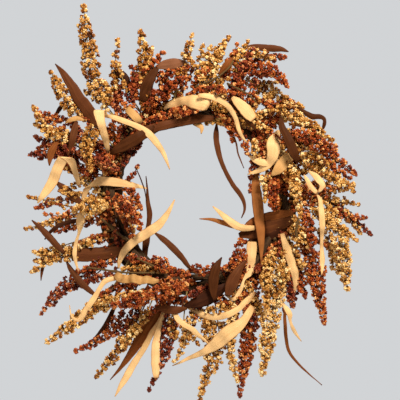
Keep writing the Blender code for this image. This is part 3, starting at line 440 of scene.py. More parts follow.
    "rust_sprig_crown_j": (76, ((44, 198), (56, 222), (66, 250)), 9, 44, 0.9),
    "gold_sprig_crown_k": (70, ((62, 206), (72, 232), (84, 256)), 8, 42, 0.9),
    "burgundy_sprig_crown_l": (68, ((70, 196), (80, 214), (88, 236)), 9, 40, 0.9),
    "burgundy_sprig_hole_right": (24, ((97, 74), (90, 42), (89, 8)), 5, 30, 0.8),
    "rust_sprig_right_face": (14, ((131, 42), (127, 12), (120, -14)), 11, 52, 1.0),
    "gold_sprig_right_face": (18, ((113, 36), (110, 14), (112, -8)), 7, 48, 0.9),
    "gold_sprig_right_r": (-16, ((160, -34), (164, -62), (164, -92)), 9, 40, 0.9),
}

# Short sprays that fill the ring between the others. For each stretch of the ring (degrees,
# anticlockwise from +X): how many stand outward, how many lie along its face, and their colours.
FILL = (
    (-75, -35, 7, 4, (("gold", 0.5), ("burgundy", 0.25), ("rust", 0.25))),
    (-35, 5, 8, 5, (("gold", 0.5), ("rust", 0.4), ("burgundy", 0.1))),
    (5, 45, 8, 6, (("gold", 0.5), ("rust", 0.5))),
    (45, 80, 8, 6, (("rust", 0.5), ("gold", 0.35), ("burgundy", 0.15))),
    (97, 130, 7, 6, (("rust", 0.45), ("burgundy", 0.3), ("gold", 0.25))),
    (130, 165, 6, 5, (("rust", 0.4), ("burgundy", 0.2), ("gold", 0.4))),
    (165, 190, 3, 2, (("rust", 0.6), ("gold", 0.4))),
    (190, 225, 4, 2, (("gold", 0.4), ("rust", 0.4), ("burgundy", 0.2))),
    (225, 285, 6, 5, (("gold", 0.3), ("rust", 0.4), ("burgundy", 0.3))),
)

# ---------------------------------------------------------------- vines
# Bark in its dark, light and green parts: of vines, and of tendrils and some thin vines.
BARK_COLOURS = {
    "vine_bark": ((0.012, 0.0055, 0.0025), (0.090, 0.044, 0.019), (0.052, 0.034, 0.009)),
    "vine_bark_pale": ((0.030, 0.015, 0.005), (0.170, 0.092, 0.032), (0.105, 0.074, 0.015)),
}
# Frame vines by kind: radius, random seed before the vine's own number is added, and whether the
# vine closes on itself.
FRAME_VINES = {
    "core": (0.004, 41, True),
    "strand": (0.0055, 53, True),
    "tendril": (0.0022, 54, False),
}
# Thin vines wound round the bundle: turns that each makes on its way round the ring, its radius.
THIN_VINES = ((-3, 0.0018), (-2, 0.0026), (3, 0.0021), (-4, 0.0018), (4, 0.0026), (-1, 0.0021), (5, 0.0018))
THIN_VINE_REACH = 0.0165                 # from the bundle's middle
THIN_VINE_WANDER = 0.0035
VINE_SIDES = 12
VINE_STEP = 0.004

# Bare stems that lie across the ring: radius and points (x, depth, z).
LOOSE_STEMS = (
    (1.6, ((-181, 42, -118), (-150, 50, -122), (-121, 50, -126), (-95, 44, -127), (-70, 34, -127))),
    (1.9, ((-116, 32, -96), (-101, 34, -102), (-88, 34, -109), (-70, 32, -117), (-54, 28, -123))),
    (2.1, ((-158, 34, -38), (-141, 34, -52), (-127, 27, -66), (-115, 21, -73), (-104, 17, -80))),
    (1.8, ((170, 40, -30), (166, 44, -46), (164, 44, -62), (166, 40, -83), (160, 34, -100))),
    (1.5, ((-4, 40, 180), (14, 52, 186), (32, 60, 194), (51, 62, 209), (60, 60, 222))),
    (1.3, ((50, 44, 186), (66, 56, 177), (84, 60, 167), (97, 58, 155))),
)

# ---------------------------------------------------------------- stage and camera
CAMERA_DISTANCE = 2.6
VIEW_WIDTH = 0.672                       # at the ring's middle plane
VIEW_OFFSET = (0.005, -0.0066)
FLOOR_HEIGHT = -1.75
FLOOR_RADIUS = 4.0
FLOOR_COLOUR = (0.90, 0.89, 0.87, 1.0)
FLOOR_GLOW = 0.3
ROOM_LIGHT = ((1.0, 0.86, 0.68, 1.0), 0.14)
BACKDROP = ((0.80, 0.82, 0.84, 1.0), 0.8)
# Each lamp: place, size, power and colour.
LAMPS = {
    "key": ((0.6, -1.6, 1.2), 0.6, 76, (1.0, 0.93, 0.82)),
    "fill": ((-1.5, -1.3, 0.2), 1.4, 12, (1.0, 0.91, 0.78)),
    "back": ((0.4, 1.8, 1.0), 1.6, 55, (1.0, 0.97, 0.93)),
}


# ---------------------------------------------------------------- paths
def path_distances(points):
    """How far along a path each of its points is."""
    steps = np.linalg.norm(np.diff(points, axis=0), axis=1)
    return np.concatenate(([0.0], np.cumsum(steps)))


def values_at(places, distance, values):
    """Rows of values that are known at `distance` along a path, at other places along it."""
    return np.column_stack([np.interp(places, distance, column) for column in values.T])


def curve_stretch(p0, p1, p2, p3, count):
    """Points of a Catmull-Rom curve from p1 until just before p2."""
    share = np.linspace(0, 1, count, endpoint=False)[:, None]
    return 0.5 * (2 * p1 + (p2 - p0) * share
                  + (2 * p0 - 5 * p1 + 4 * p2 - p3) * share ** 2
                  + (3 * p1 - p0 - 3 * p2 + p3) * share ** 3)


def smooth_path(points, step):
    """Points about `step` apart along a smooth curve through `points`."""
    knots = np.asarray(points, dtype=float)
    padded = np.vstack((2 * knots[0] - knots[1], knots, 2 * knots[-1] - knots[-2]))
    stretches = [curve_stretch(*padded[first:first + 4], PATH_SAMPLES) for first in range(len(knots) - 1)]
    dense = np.vstack((*stretches, knots[-1:]))
    distance = path_distances(dense)
    count = max(3, int(round(distance[-1] / step)) + 1)
    return values_at(np.linspace(0, distance[-1], count), distance, dense)


def smooth_loop(points, step):
    """Points about `step` apart along a smooth closed curve through `points`."""
    wrapped = np.vstack((points[-1:], points, points[:2]))
    stretches = [curve_stretch(*wrapped[first:first + 4], LOOP_SAMPLES) for first in range(len(points))]
    dense = np.vstack((*stretches, points[:1]))
    distance = path_distances(dense)
    places = np.linspace(0, distance[-1], int(distance[-1] / step), endpoint=False)
    return values_at(places, distance, dense)


def unit_rows(vectors):
    return vectors / np.maximum(np.linalg.norm(vectors, axis=-1), 1e-9)[..., None]


def path_frames(points):
    """The direction of a path at each point, and two directions across it that turn little."""
    along = unit_rows(np.gradient(points, axis=0))
    across = np.zeros_like(points)
    guess = np.cross(along[0], (0.3, 1.0, 0.2))
    for index, direction in enumerate(along):
        guess = guess - direction * np.dot(guess, direction)
        guess = guess / np.linalg.norm(guess)
        across[index] = guess
    return along, across, np.cross(along, across)


def turned(first, second, angle):
    """Directions turned from `first` towards `second`, one for each angle."""
    return first * np.cos(angle)[..., None] + second * np.sin(angle)[..., None]


def smoothstep(share):
    share = np.clip(share, 0, 1)
    return share * share * (3 - 2 * share)


def ring_to_world(points_mm):
    """Table points (x, depth in front, z) in mm, in world metres."""
    points = np.array(points_mm, dtype=float) * MM
    points[:, 1] *= -1
    return points + RING_CENTRE


# ---------------------------------------------------------------- reading the frame
def welded(node):
    """A frame node's distinct points and the points that each one shares an edge with."""
    mesh = frame["nodes"][node].data
    points = np.empty(len(mesh.vertices) * 3)
    mesh.vertices.foreach_get("co", points)
    distinct, index = np.unique(np.round(points.reshape(-1, 3), 6), axis=0, return_inverse=True)
    index = index.ravel()
    neighbours = [set() for _ in distinct]
    for edge in mesh.edges:
        a, b = index[edge.vertices[0]], index[edge.vertices[1]]
        if a != b:
            neighbours[a].add(b)
            neighbours[b].add(a)
    return distinct, neighbours


def rings_of(node, first):
    """The rings of points of a frame tube, in order from the end where `first(points)` lies."""
    points, neighbours = welded(node)
    start = points[first(points)]
    ring = set(np.argsort(np.linalg.norm(points - start, axis=1))[:FRAME_TUBE_SIDES].tolist())
    rings, seen = [], set()
    while ring:
        rings.append(points[sorted(ring)])
        seen |= ring
        ring = {near for point in ring for near in neighbours[point]} - seen
    return rings


def tube_line(node, first):
    """The middle line of a frame tube, and its radius at each point."""
    rings = rings_of(node, first)
    middles = np.array([ring.mean(axis=0) for ring in rings])
    radii = np.array([np.linalg.norm(ring - middle, axis=1).mean() for ring, middle in zip(rings, middles)])
    return middles, radii


def nearest_bundle(points):
    """The point nearest the middle of the vine bundle."""
    reach = np.linalg.norm((points - RING_CENTRE)[:, [0, 2]], axis=1) - RING_RADIUS
    return np.argmin(reach ** 2 + points[:, 1] ** 2)


def far_end(points):
    """A point at one end of a gently bent piece."""
    return np.argmax(np.linalg.norm(points - points.mean(axis=0), axis=1))


def closed_line(node):
    """The middle line of a frame vine that runs all the way round the ring."""
    points, _ = welded(node)
    order = np.argsort(np.arctan2(points[:, 2] - RING_CENTRE[2], points[:, 0]))
    groups = np.array_split(order, len(points) // FRAME_TUBE_SIDES)
    return np.array([points[group].mean(axis=0) for group in groups])


# ---------------------------------------------------------------- meshes
class Shape:
    """Points, faces and places on the maps, gathered for one mesh."""

    def __init__(self):
        self.points, self.faces, self.corners, self.materials = [], [], [], []
        self.count = 0

    def add_points(self, points):
        """Adds points, and says which number the first has."""
        first = self.count
        self.points.append(points)
        self.count += len(points)
        return first

    def add_faces(self, first, faces, places, material=0):
        """Adds faces, as rows of point numbers counted from `first`, with (u, v) for each corner."""
        self.faces.append(faces + first)
        self.corners.append(places)
        self.materials.append(np.full(len(faces), material))

    def build(self, name, *materials):
        mesh = bpy.data.meshes.new(name)
        points = np.vstack(self.points)
        sizes = np.concatenate([np.full(len(faces), faces.shape[1]) for faces in self.faces])
        loops = np.concatenate([faces.ravel() for faces in self.faces])
        mesh.vertices.add(len(points))
        mesh.vertices.foreach_set("co", points.ravel())
        mesh.loops.add(len(loops))
        mesh.loops.foreach_set("vertex_index", loops)
        mesh.polygons.add(len(sizes))
        mesh.polygons.foreach_set("loop_start", np.concatenate(([0], np.cumsum(sizes)[:-1])))
        mesh.polygons.foreach_set("loop_total", sizes)
        mesh.polygons.foreach_set("material_index", np.concatenate(self.materials).astype(int))
        mesh.update(calc_edges=True)
        places = np.concatenate([corner.reshape(-1, 2) for corner in self.corners])
        for layer in ("OFBake", "grain"):
            mesh.uv_layers.new(name=layer).uv.foreach_set("vector", places.ravel())
        mesh.validate()
        mesh.shade_smooth()
        for material in materials:
            mesh.materials.append(material)
        piece = bpy.data.objects.new(name, mesh)
        bpy.context.scene.collection.objects.link(piece)
        return piece


def on_wreath(piece, node=None):
    """Puts a piece on the wreath's body and in place of a frame node if it has one."""
    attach(piece, "wreath")
    if node:
        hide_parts(node)


def pairs(*values):
    """Arrays of first, second and other values, stacked as the last axis."""
    return np.stack(np.broadcast_arrays(*values), -1)


def loft(shape, rows, box=WHOLE_MAP, material=0, closed=False):
    """Adds a tube through rows of points (rows, around, 3). `box` is its part of the maps."""
    count, around = rows.shape[:2]
    low_u, low_v, high_u, high_v = box
    turn = np.arange(around)
    after = (turn + 1) % around
    rings = np.arange(count if closed else count - 1)[:, None] * around
    next_rings = (rings + around) % (count * around)
    left = low_u + (high_u - low_u) * turn / around
    right = low_u + (high_u - low_u) * (turn + 1) / around
    cap = 0.0 if closed else CAP_SHARE * (high_v - low_v)
    levels = np.linspace(low_v + cap, high_v - cap, count + (1 if closed else 0))
    below, above = levels[:-1, None], levels[1:, None]
    faces = pairs(rings + turn, rings + after, next_rings + after, next_rings + turn)
    corners = ((left, below), (right, below), (right, above), (left, above))
    places = np.stack([pairs(*corner) for corner in corners], axis=2)
    first = shape.add_points(rows.reshape(-1, 3))
    shape.add_faces(first, faces.reshape(-1, 4), places.reshape(-1, 4, 2), material)
    if closed:
        return
    shape.add_points(np.array((rows[0].mean(axis=0), rows[-1].mean(axis=0))))
    middle_u = (left + right) / 2
    top, tip = (count - 1) * around, count * around
    caps = ((pairs(after, turn, tip), right, left, levels[0], low_v),
            (pairs(top + turn, top + after, tip + 1), left, right, levels[-1], high_v))
    for faces, from_u, to_u, level, tip_v in caps:
        places = np.stack((pairs(from_u, level), pairs(to_u, level), pairs(middle_u, tip_v)), axis=1)
        shape.add_faces(first, faces, places, material)


def tube_rows(points, radii, sides):
    """Rings of points round a line, with a radius at each."""
    _, across, upward = path_frames(points)
    turn = np.arange(sides) * math.tau / sides
    ring = turned(across[:, None], upward[:, None], turn[None])
    return points[:, None] + ring * np.broadcast_to(radii, len(points))[:, None, None]


# ---------------------------------------------------------------- materials
def new_material(name, roughness, specular=0.2):
    material = bpy.data.materials.new(name)
    material.use_nodes = True
    tree = material.node_tree
    shader = tree.nodes["Principled BSDF"]
    shader.inputs["Roughness"].default_value = roughness
    shader.inputs["Specular IOR Level"].default_value = specular
    return material, tree, shader


def add_node(tree, kind, **settings):
    node = tree.nodes.new(kind)
    for key, value in settings.items():
        setattr(node, key, value)
    return node


def ramp(tree, source, *stops):
    """Colours or grey levels, each at its place along the source's value."""
    node = add_node(tree, "ShaderNodeValToRGB")
    elements = node.color_ramp.elements
    while len(elements) < len(stops):
        elements.new(0.5)
    for element, (place, colour) in zip(elements, stops):
        element.position = place
        element.color = (colour, colour, colour, 1.0) if np.isscalar(colour) else (*colour, 1.0)
    tree.links.new(source, node.inputs["Fac"])
    return node.outputs["Color"]


def mix_colours(tree, share, first, second, blend_type="MIX"):
    """One colour over another; the share and both colours are sockets or plain values."""
    mix = add_node(tree, "ShaderNodeMix", data_type="RGBA", blend_type=blend_type)
    for socket, value in ((mix.inputs[0], share), (mix.inputs[6], first), (mix.inputs[7], second)):
        if isinstance(value, bpy.types.NodeSocket):
            tree.links.new(value, socket)
        elif np.isscalar(value):
            socket.default_value = value
        else:
            socket.default_value = (*value, 1.0)
    return mix.outputs[2]


def noise(tree, vector, stretch, detail=3.0, roughness=0.6):
    """Noise with so many patches along each axis of the vector."""
    mapping = add_node(tree, "ShaderNodeMapping")
    mapping.inputs["Scale"].default_value = stretch
    tree.links.new(vector, mapping.inputs["Vector"])
    texture = add_node(tree, "ShaderNodeTexNoise")
    texture.inputs["Scale"].default_value = 1.0
    texture.inputs["Detail"].default_value = detail
    texture.inputs["Roughness"].default_value = roughness
    tree.links.new(mapping.outputs["Vector"], texture.inputs["Vector"])
    return texture.outputs["Fac"]


def connect(tree, shader, colour, roughness=None):
    """Gives the shader its colour and, if there is one, its map of roughness."""
    tree.links.new(colour, shader.inputs["Base Color"])
    if roughness:
        tree.links.new(roughness, shader.inputs["Roughness"])


def bump(tree, shader, height, strength, distance):
    node = add_node(tree, "ShaderNodeBump")
    node.inputs["Strength"].default_value = strength
    node.inputs["Distance"].default_value = distance
    tree.links.new(height, node.inputs["Height"])
    tree.links.new(node.outputs["Normal"], shader.inputs["Normal"])


def grain_uv(tree):
    """The place on the piece's own map, as a vector and as its two values."""
    node = add_node(tree, "ShaderNodeUVMap", uv_map="grain")
    split = add_node(tree, "ShaderNodeSeparateXYZ")
    tree.links.new(node.outputs["UV"], split.inputs["Vector"])
    return node.outputs["UV"], split.outputs["X"], split.outputs["Y"]


def seed_material(colour):
    """Dry seed hulls: each seed has a tone, a darker husk at its base and a dark tip."""
    material, tree, shader = new_material(f"{colour}_seeds", 0.42)
    _, tone, height = grain_uv(tree)
    top = SEED_MAP[3]
    husk_top = HUSK_HEIGHT * top
    hull = ramp(tree, tone, *SEED_TONES[colour])
    shade = ramp(tree, height, (0.0, 0.30), (husk_top * 0.8, 0.45), (husk_top, 1.0),
                 (0.88 * top, 1.0), (0.97 * top, 0.45))
    rough = ramp(tree, height, (0.0, 0.75), (husk_top, 0.6), (husk_top + 0.05, 0.36))
    connect(tree, shader, mix_colours(tree, 1.0, hull, shade, "MULTIPLY"), rough)
    return material


def stem_material(colour):
    """Dry stems: long streaks from one tone to another."""
    material, tree, shader = new_material(f"{colour}_stem", 0.7)
    uv, _, _ = grain_uv(tree)
    dark, light = STEM_COLOURS[colour]
    connect(tree, shader, ramp(tree, noise(tree, uv, (30, 12, 1)), (0.35, dark), (0.65, light)))
    return material


def leaf_material(colour):
    """Dry corn leaf: fine lengthwise veins, blotches, and darker, drier edges and ends."""
    body, streak, blotch, edge = LEAF_COLOURS[colour]
    material, tree, shader = new_material(f"{colour}_leaf", 0.55, 0.2 if colour in SHINY_LEAVES else 0.05)
    uv, around, along = grain_uv(tree)
    veins = noise(tree, uv, (90, 1.6, 1), 4.0, 0.7)
    broad = noise(tree, uv, (9, 2.2, 1))
    spots = noise(tree, uv, (26, 22, 1), 5.0, 0.65)
    # The map runs across the front face and back across the other, so the edges are at 0 and 0.5.
    edges = add_node(tree, "ShaderNodeMath", operation="PINGPONG")
    edges.inputs[1].default_value = 0.25
    tree.links.new(around, edges.inputs[0])
    base = body
    for source, stops, over in (
            (veins, ((0.45, 0.0), (0.68, 0.85)), streak),
            (broad, ((0.46, 0.0), (0.78, 0.75)), blotch),
            (edges.outputs[0], ((0.0, 0.75), (0.05, 0.0)), edge),
            (spots, ((0.64, 0.0), (0.72, 0.5)), edge),
            (along, ((0.0, 0.6), (0.12, 0.0), (0.90, 0.0), (1.0, 0.7)), edge)):
        base = mix_colours(tree, ramp(tree, source, *stops), base, over)
    connect(tree, shader, base, ramp(tree, spots, (0.3, 0.48), (0.7, 0.68)))
    bump(tree, shader, veins, 0.3, 0.0004)
    return material


def vine_material(name, dark, light, green):
    """Rough bark: ridges along the vine, cracks across it and a little green in places."""
    material, tree, shader = new_material(name, 0.85)
    uv, _, _ = grain_uv(tree)
    ridges = noise(tree, uv, (14, 60, 1), 6.0, 0.7)
    broad = noise(tree, uv, (2, 26, 1), 3.0, 0.5)
    bark = ramp(tree, ridges, (0.32, dark), (0.62, light))
    connect(tree, shader, mix_colours(tree, ramp(tree, broad, (0.5, 0.0), (0.7, 0.55)), bark, green))
    bump(tree, shader, ridges, 0.9, 0.0012)
    return material


def wire_material():
    """Dull florist wire with specks of rust."""
    material, tree, shader = new_material("florist_wire", 0.5, 0.5)
    shader.inputs["Metallic"].default_value = 0.85
    place = add_node(tree, "ShaderNodeTexCoord")
    specks = noise(tree, place.outputs["Object"], (900, 900, 900), 4.0, 0.7)
    connect(tree, shader, ramp(tree, specks, (0.45, (0.10, 0.095, 0.09)), (0.62, (0.16, 0.075, 0.035))),
            ramp(tree, specks, (0.4, 0.38), (0.65, 0.8)))
    return material


# ---------------------------------------------------------------- seed sprays
def seed_template():
    """One seed that points along +Z: its points, four- and three-cornered faces and map places."""
    turn = np.arange(SEED_SEGMENTS) * math.tau / SEED_SEGMENTS
    points = [(0.0, 0.0, 0.0)]
    for height, width in zip(SEED_RINGS, SEED_RING_WIDTHS):
        points += [(0.5 * width * math.cos(a), 0.5 * width * math.sin(a), height) for a in turn]
    points.append((0.0, 0.0, 1.0))
    quads, quad_places, tris, tri_places = [], [], [], []
    levels = (0.0, *SEED_RINGS, 1.0)
    top = 1 + (len(SEED_RINGS) - 1) * SEED_SEGMENTS
    for k in range(SEED_SEGMENTS):
        n = (k + 1) % SEED_SEGMENTS
        u0, u1 = k / SEED_SEGMENTS, (k + 1) / SEED_SEGMENTS
        tris.append((0, 1 + n, 1 + k))
        tri_places.append(((0.5 * (u0 + u1), levels[0]), (u1, levels[1]), (u0, levels[1])))
        for ring in range(len(SEED_RINGS) - 1):
            low, high = 1 + ring * SEED_SEGMENTS, 1 + (ring + 1) * SEED_SEGMENTS
            quads.append((low + k, low + n, high + n, high + k))
            quad_places.append(((u0, levels[ring + 1]), (u1, levels[ring + 1]),
                                (u1, levels[ring + 2]), (u0, levels[ring + 2])))
        tris.append((top + k, top + n, len(points) - 1))
        tri_places.append(((u0, levels[-2]), (u1, levels[-2]), (0.5 * (u0 + u1), levels[-1])))
    return (np.array(points), np.array(quads), np.array(quad_places, dtype=float),
            np.array(tris), np.array(tri_places, dtype=float))


def place_on_map(places, box):
    low = np.array(box[:2])
    return low + places * (np.array(box[2:]) - low)


def add_copies(shape, points, faces_and_places, material=0):
    """Adds many copies of a small mesh: points (copies, each, 3), faces of one, places of all."""
    count, each = points.shape[:2]
    offsets = (np.arange(count) * each)[:, None, None]
    first = shape.add_points(points.reshape(-1, 3))
    for faces, places in faces_and_places:
        shape.add_faces(first, (faces[None] + offsets).reshape(-1, faces.shape[1]),
                        places.reshape(-1, faces.shape[1], 2), material)


def add_seeds(shape, bases, directions, sizes, tones):
    """Adds one seed at each base point, pointing along its direction."""
    points, quads, quad_places, tris, tri_places = SEED
    along = unit_rows(directions)
    helper = np.where(np.abs(along[:, 2:3]) < 0.9, np.array((0.0, 0.0, 1.0)), np.array((1.0, 0.0, 0.0)))
    side = unit_rows(np.cross(along, helper))
    other = np.cross(along, side)
    width = (SEED_WIDTH * sizes)[:, None, None]
    length = (SEED_LENGTH * sizes)[:, None, None]
    placed = (bases[:, None] + side[:, None] * points[None, :, 0:1] * width
              + other[:, None] * points[None, :, 1:2] * width
              + along[:, None] * points[None, :, 2:3] * length)
    strip = np.clip((tones * TONE_STEPS).astype(int), 0, TONE_STEPS - 1)

    def of_each_seed(places):
        """Map places of every seed's faces, within the strip of the seed's tone."""
        spread = np.broadcast_to(places, (len(bases), *places.shape)).copy()
        spread[..., 0] = (strip[:, None, None] + 0.08 + 0.84 * spread[..., 0]) / TONE_STEPS
        return place_on_map(spread, SEED_MAP)

    add_copies(shape, placed, ((quads, of_each_seed(quad_places)), (tris, of_each_seed(tri_places))))


def add_twigs(shape, starts, ends):
    """Adds a three-sided pointed twig from each start to each end."""
    along = unit_rows(ends - starts)
    side = unit_rows(np.cross(along, (0.31, 0.87, 0.38)))
    other = np.cross(along, side)
    ring = turned(side[:, None], other[:, None], (np.arange(3) * math.tau / 3)[None])
    points = np.concatenate((starts[:, None] + ring * TWIG_RADIUS, ends[:, None]), axis=1)
    faces = np.array(((0, 1, 3), (1, 2, 3), (2, 0, 3), (2, 1, 0)))
    places = np.array([((k / 4, 0.0), ((k + 1) / 4, 0.0), ((k + 0.5) / 4, 1.0)) for k in range(4)])
    spread = np.broadcast_to(places, (len(starts), *places.shape))
    add_copies(shape, points, ((faces, place_on_map(spread, TWIG_MAP)),), 1)


def head_clumps(line, radii, fullness, random):
    """Where a head's clumps grow: their places along the line, turns round it and reaches from it."""
    distance = path_distances(line)
    start = distance[np.argmax(radii > HEAD_START * STEM_RADIUS)]
    length = distance[-1] - start
    whorls = max(3, int(round(length / WHORL_STEP)))
    places, turns, reaches = [], [], []
    turn = random.random() * math.tau
    for whorl in range(whorls):
        place = start + length * (whorl + 0.5 + random.uniform(-0.2, 0.2)) / whorls
        radius = np.interp(place, distance, radii) * random.uniform(0.82, 1.16)
        count = max(2, int(round(math.tau * CLUMP_RING * radius / CLUMP_STEP * fullness)))
        turn += WHORL_TURN
        places.append(place + random.uniform(-0.35, 0.35, count) * WHORL_STEP)
        turns.append(turn + (np.arange(count) + random.uniform(-0.25, 0.25, count)) * math.tau / count)
        reaches.append(radius * random.uniform(0.66, 1.08, count))
    # Two more clumps close the tip.
    places.append(np.array((distance[-1], distance[-1] - 0.3 * WHORL_STEP)))
    turns.append(np.array((0.0, 2.0)))
    reaches.append(np.array((0.5, 0.9)) * CLUMP_RADIUS)
    return [np.concatenate(values) for values in (places, turns, reaches)]


def grow_head(line, radii, fullness, random):
    """Seeds and twigs of a head: whorls of clumps up the stem, each clump a knot of seeds."""
    places, turns, reaches = head_clumps(line, radii, fullness, random)
    along, across, upward, middle = (values_at(places, path_distances(line), values)
                                     for values in (*path_frames(line), line))
    clumps = len(places)
    forward = unit_rows(along)
    outward = unit_rows(turned(across, upward, turns))
    size = np.clip(reaches * 0.42, 0.0030, CLUMP_RADIUS) * random.uniform(0.85, 1.15, clumps)
    lean = random.uniform(0.25, 0.75, clumps)
    centres = middle + outward * (reaches - size)[:, None] + forward * (lean * reaches * 0.5)[:, None]
    centres[:, 2] -= 0.06 * reaches
    roots = middle - forward * (reaches * 0.5)[:, None]
    headings = unit_rows(outward + forward * lean[:, None])
    clump_tones = random.normal(0.0, 0.18, clumps)
    helper = unit_rows(np.cross(headings, random.normal(0, 1, (clumps, 3))))
    other = np.cross(headings, helper)
    seeds = []
    for number in range(SEEDS_PER_CLUMP):
        outer = number < OUTER_SEEDS
        spin = number * SEED_SPIN + random.uniform(-0.3, 0.3, clumps)
        tilt = (0.0 if number == 0 else 0.95 if outer else 1.75) + random.uniform(-0.22, 0.22, clumps)
        direction = turned(headings, turned(helper, other, spin), tilt)
        keep = random.random(clumps) < (1.0 if outer else 0.75)
        # Seeds on a clump's inner side get a tone 0.20 lower than those on its outer side: painted shade for
        # where they lie tucked into the clump.
        seeds.append([values[keep] for values in (
            centres + direction * (size - 0.72 * SEED_LENGTH)[:, None],
            direction + random.normal(0, 0.12, (clumps, 3)),
            random.uniform(0.84, 1.12, clumps),
            clump_tones + random.normal(0, 0.12, clumps) + (0.01 if outer else -0.20))])
    return [np.concatenate(values) for values in zip(*seeds)], roots, centres


def nearest_on_leaf(points, middle):
    """The point of a leaf's midrib nearest each point as seen from the front, and how far off it is."""
    apart = np.linalg.norm(points[:, None, [0, 2]] - middle[None, :, [0, 2]], axis=2)
    nearest = np.argmin(apart, axis=1)
    return nearest, apart[np.arange(len(points)), nearest]


def clear_of_leaves(points):
    """Which points don't lie in front of a leaf that is on top of the sprays there."""
    clear = np.ones(len(points), dtype=bool)
    for middle, half in TOP_LEAVES:
        nearest, apart = nearest_on_leaf(points, middle)
        clear &= ~((apart < half[nearest] + 0.0015) & (points[:, 1] < middle[nearest, 1] + 0.003))
    return clear


def behind_leaves(line):
    """The line, pushed back where it would cross in front of a leaf that is on top."""
    back = np.zeros(len(line))
    for middle, half in TOP_LEAVES:
        nearest, apart = nearest_on_leaf(line, middle)
        gap = middle[nearest, 1] + 0.004 - line[:, 1]
        crosses = (apart < half[nearest] + 0.004) & (gap < 0.030)
        back = np.maximum(back, np.where(crosses, np.maximum(gap, 0), 0))
    window = np.hanning(15)
    spread = np.convolve(np.pad(back, 6, mode="edge"), window[1:-1] / window.sum(), "valid")
    pushed = line.copy()
    pushed[:, 1] += np.maximum(back, spread)
    return pushed


def build_spray(name, colour, line, radii, fullness, seed, tone=0.0):
    """One seed spray: its stem, twigs and seeds in one piece."""
    random = np.random.default_rng(seed)
    fine = smooth_path(np.column_stack((line, radii)), 0.003)
    line, radii = behind_leaves(fine[:, :3]), np.maximum(fine[:, 3], 0.0005)
    shape = Shape()
    (bases, directions, sizes, tones), roots, ends = grow_head(line, radii, fullness, random)
    tones = np.clip(MIDDLE_TONES[colour] + tone + random.normal(0, 0.03) + tones, 0.02, 0.98)
    keep = clear_of_leaves(bases)
    if keep.any():
        add_seeds(shape, bases[keep], directions[keep], sizes[keep], tones[keep])
    keep = clear_of_leaves(roots) & clear_of_leaves(0.5 * (roots + ends)) & clear_of_leaves(ends)
    if keep.any():
        add_twigs(shape, roots[keep], ends[keep])
    share = path_distances(line) / path_distances(line)[-1]
    stem = STEM_RADIUS + (STEM_TIP_RADIUS - STEM_RADIUS) * share
    loft(shape, tube_rows(line[::2], stem[::2], 6), STEM_MAP, 1)
    return shape.build(name, SEED_MATERIALS[colour], STEM_MATERIALS[colour])


def laid_spray(ring_angle, head_points, radius, tip_depth):
    """The middle line and radii of a spray that isn't in the frame."""
    angle = math.radians(ring_angle)
    root = (RING_RADIUS * math.cos(angle) / MM, RING_RADIUS * math.sin(angle) / MM)
    flat = smooth_path(np.vstack((root, head_points)), 3.0)
    distance = path_distances(flat)
    depth = STEM_DEPTH + (tip_depth - STEM_DEPTH) * smoothstep(distance / distance[-1] * 1.25)
    first = distance[np.argmin(np.linalg.norm(flat - np.array(head_points[0]), axis=1))]
    swell = smoothstep((distance - first + 20) / 30)
    late = np.clip((distance - first) / (distance[-1] - first), 0, 1)
    stem = STEM_RADIUS / MM
    radii = stem + (radius * (1 - 0.6 * late ** 2.2) - stem) * swell
    return ring_to_world(np.column_stack((flat[:, 0], depth, flat[:, 1]))), radii * MM


def make_sprays():
    """The frame's sprays in more detail, and those between them."""
    seed = 100
    for node in frame["nodes"]:
        if "spray" in node:
            seed += 1
            line, radii = tube_line(node, nearest_bundle)
            colour = node.split("_")[0]
            fullness = 0.9 if colour == "burgundy" and "left" in node else 1.0
            wider, tone = SPRAY_LOOKS.get(node, (1.0, 0.0))
            radii = radii * HEAD_SWELL * wider
            piece = build_spray(f"{node}_seeds", colour, line, radii, fullness, seed, tone)
            on_wreath(piece, node)
    for name, (ring_angle, head_points, radius, tip_depth, fullness) in MORE_SPRAYS.items():
        seed += 1
        line, radii = laid_spray(ring_angle, head_points, radius * HEAD_SWELL * THIN_SHARE, tip_depth)
        colour = name.split("_")[0]
        on_wreath(build_spray(name, colour, line, radii, fullness, seed))


def pick(shares, value):
    """The colour whose share of the range from 0 to 1 holds the value."""
    total = 0.0
    for colour, share in shares:
        total += share
        if value < total:
            return colour
    return shares[-1][0]


def make_fill():
    """Short sprays round the ring, close to it and behind the named ones."""
    random = np.random.default_rng(7)
    number = 0
    for low, high, outward, lying, colours in FILL:
        for index in range(outward + lying):
            number += 1
            lies = index >= outward
            count = lying if lies else outward
            place = (index - outward if lies else index) + random.uniform(0.2, 0.8)
            degrees = low + (high - low) * place / count
            angle = math.radians(degrees)
            colour = pick(colours, random.random())
            if lies:
                heading = angle + math.pi / 2 * random.choice((-1, 1)) + random.uniform(-0.45, 0.45)
                beyond, length = random.uniform(-14, 8), random.uniform(42, 60)
                radius, depth = random.uniform(8, 10), random.uniform(28, 44)
            else:
                heading = angle + random.uniform(-0.75, 0.75)
                beyond, length = 12, random.uniform(48, 84)
                radius, depth = random.uniform(8.5, 11.5), random.uniform(22, 48)
            first = np.array((math.cos(angle), math.sin(angle))) * (RING_RADIUS / MM + beyond)
            step = np.array((math.cos(heading), math.sin(heading))) * length
            points = (first, first + step * 0.5, first + step + (0, -4))
            line, radii = laid_spray(degrees, points, radius, depth)
            piece = build_spray(f"{colour}_filler_{number}", colour, line, radii, 0.9, 500 + number)
            on_wreath(piece)


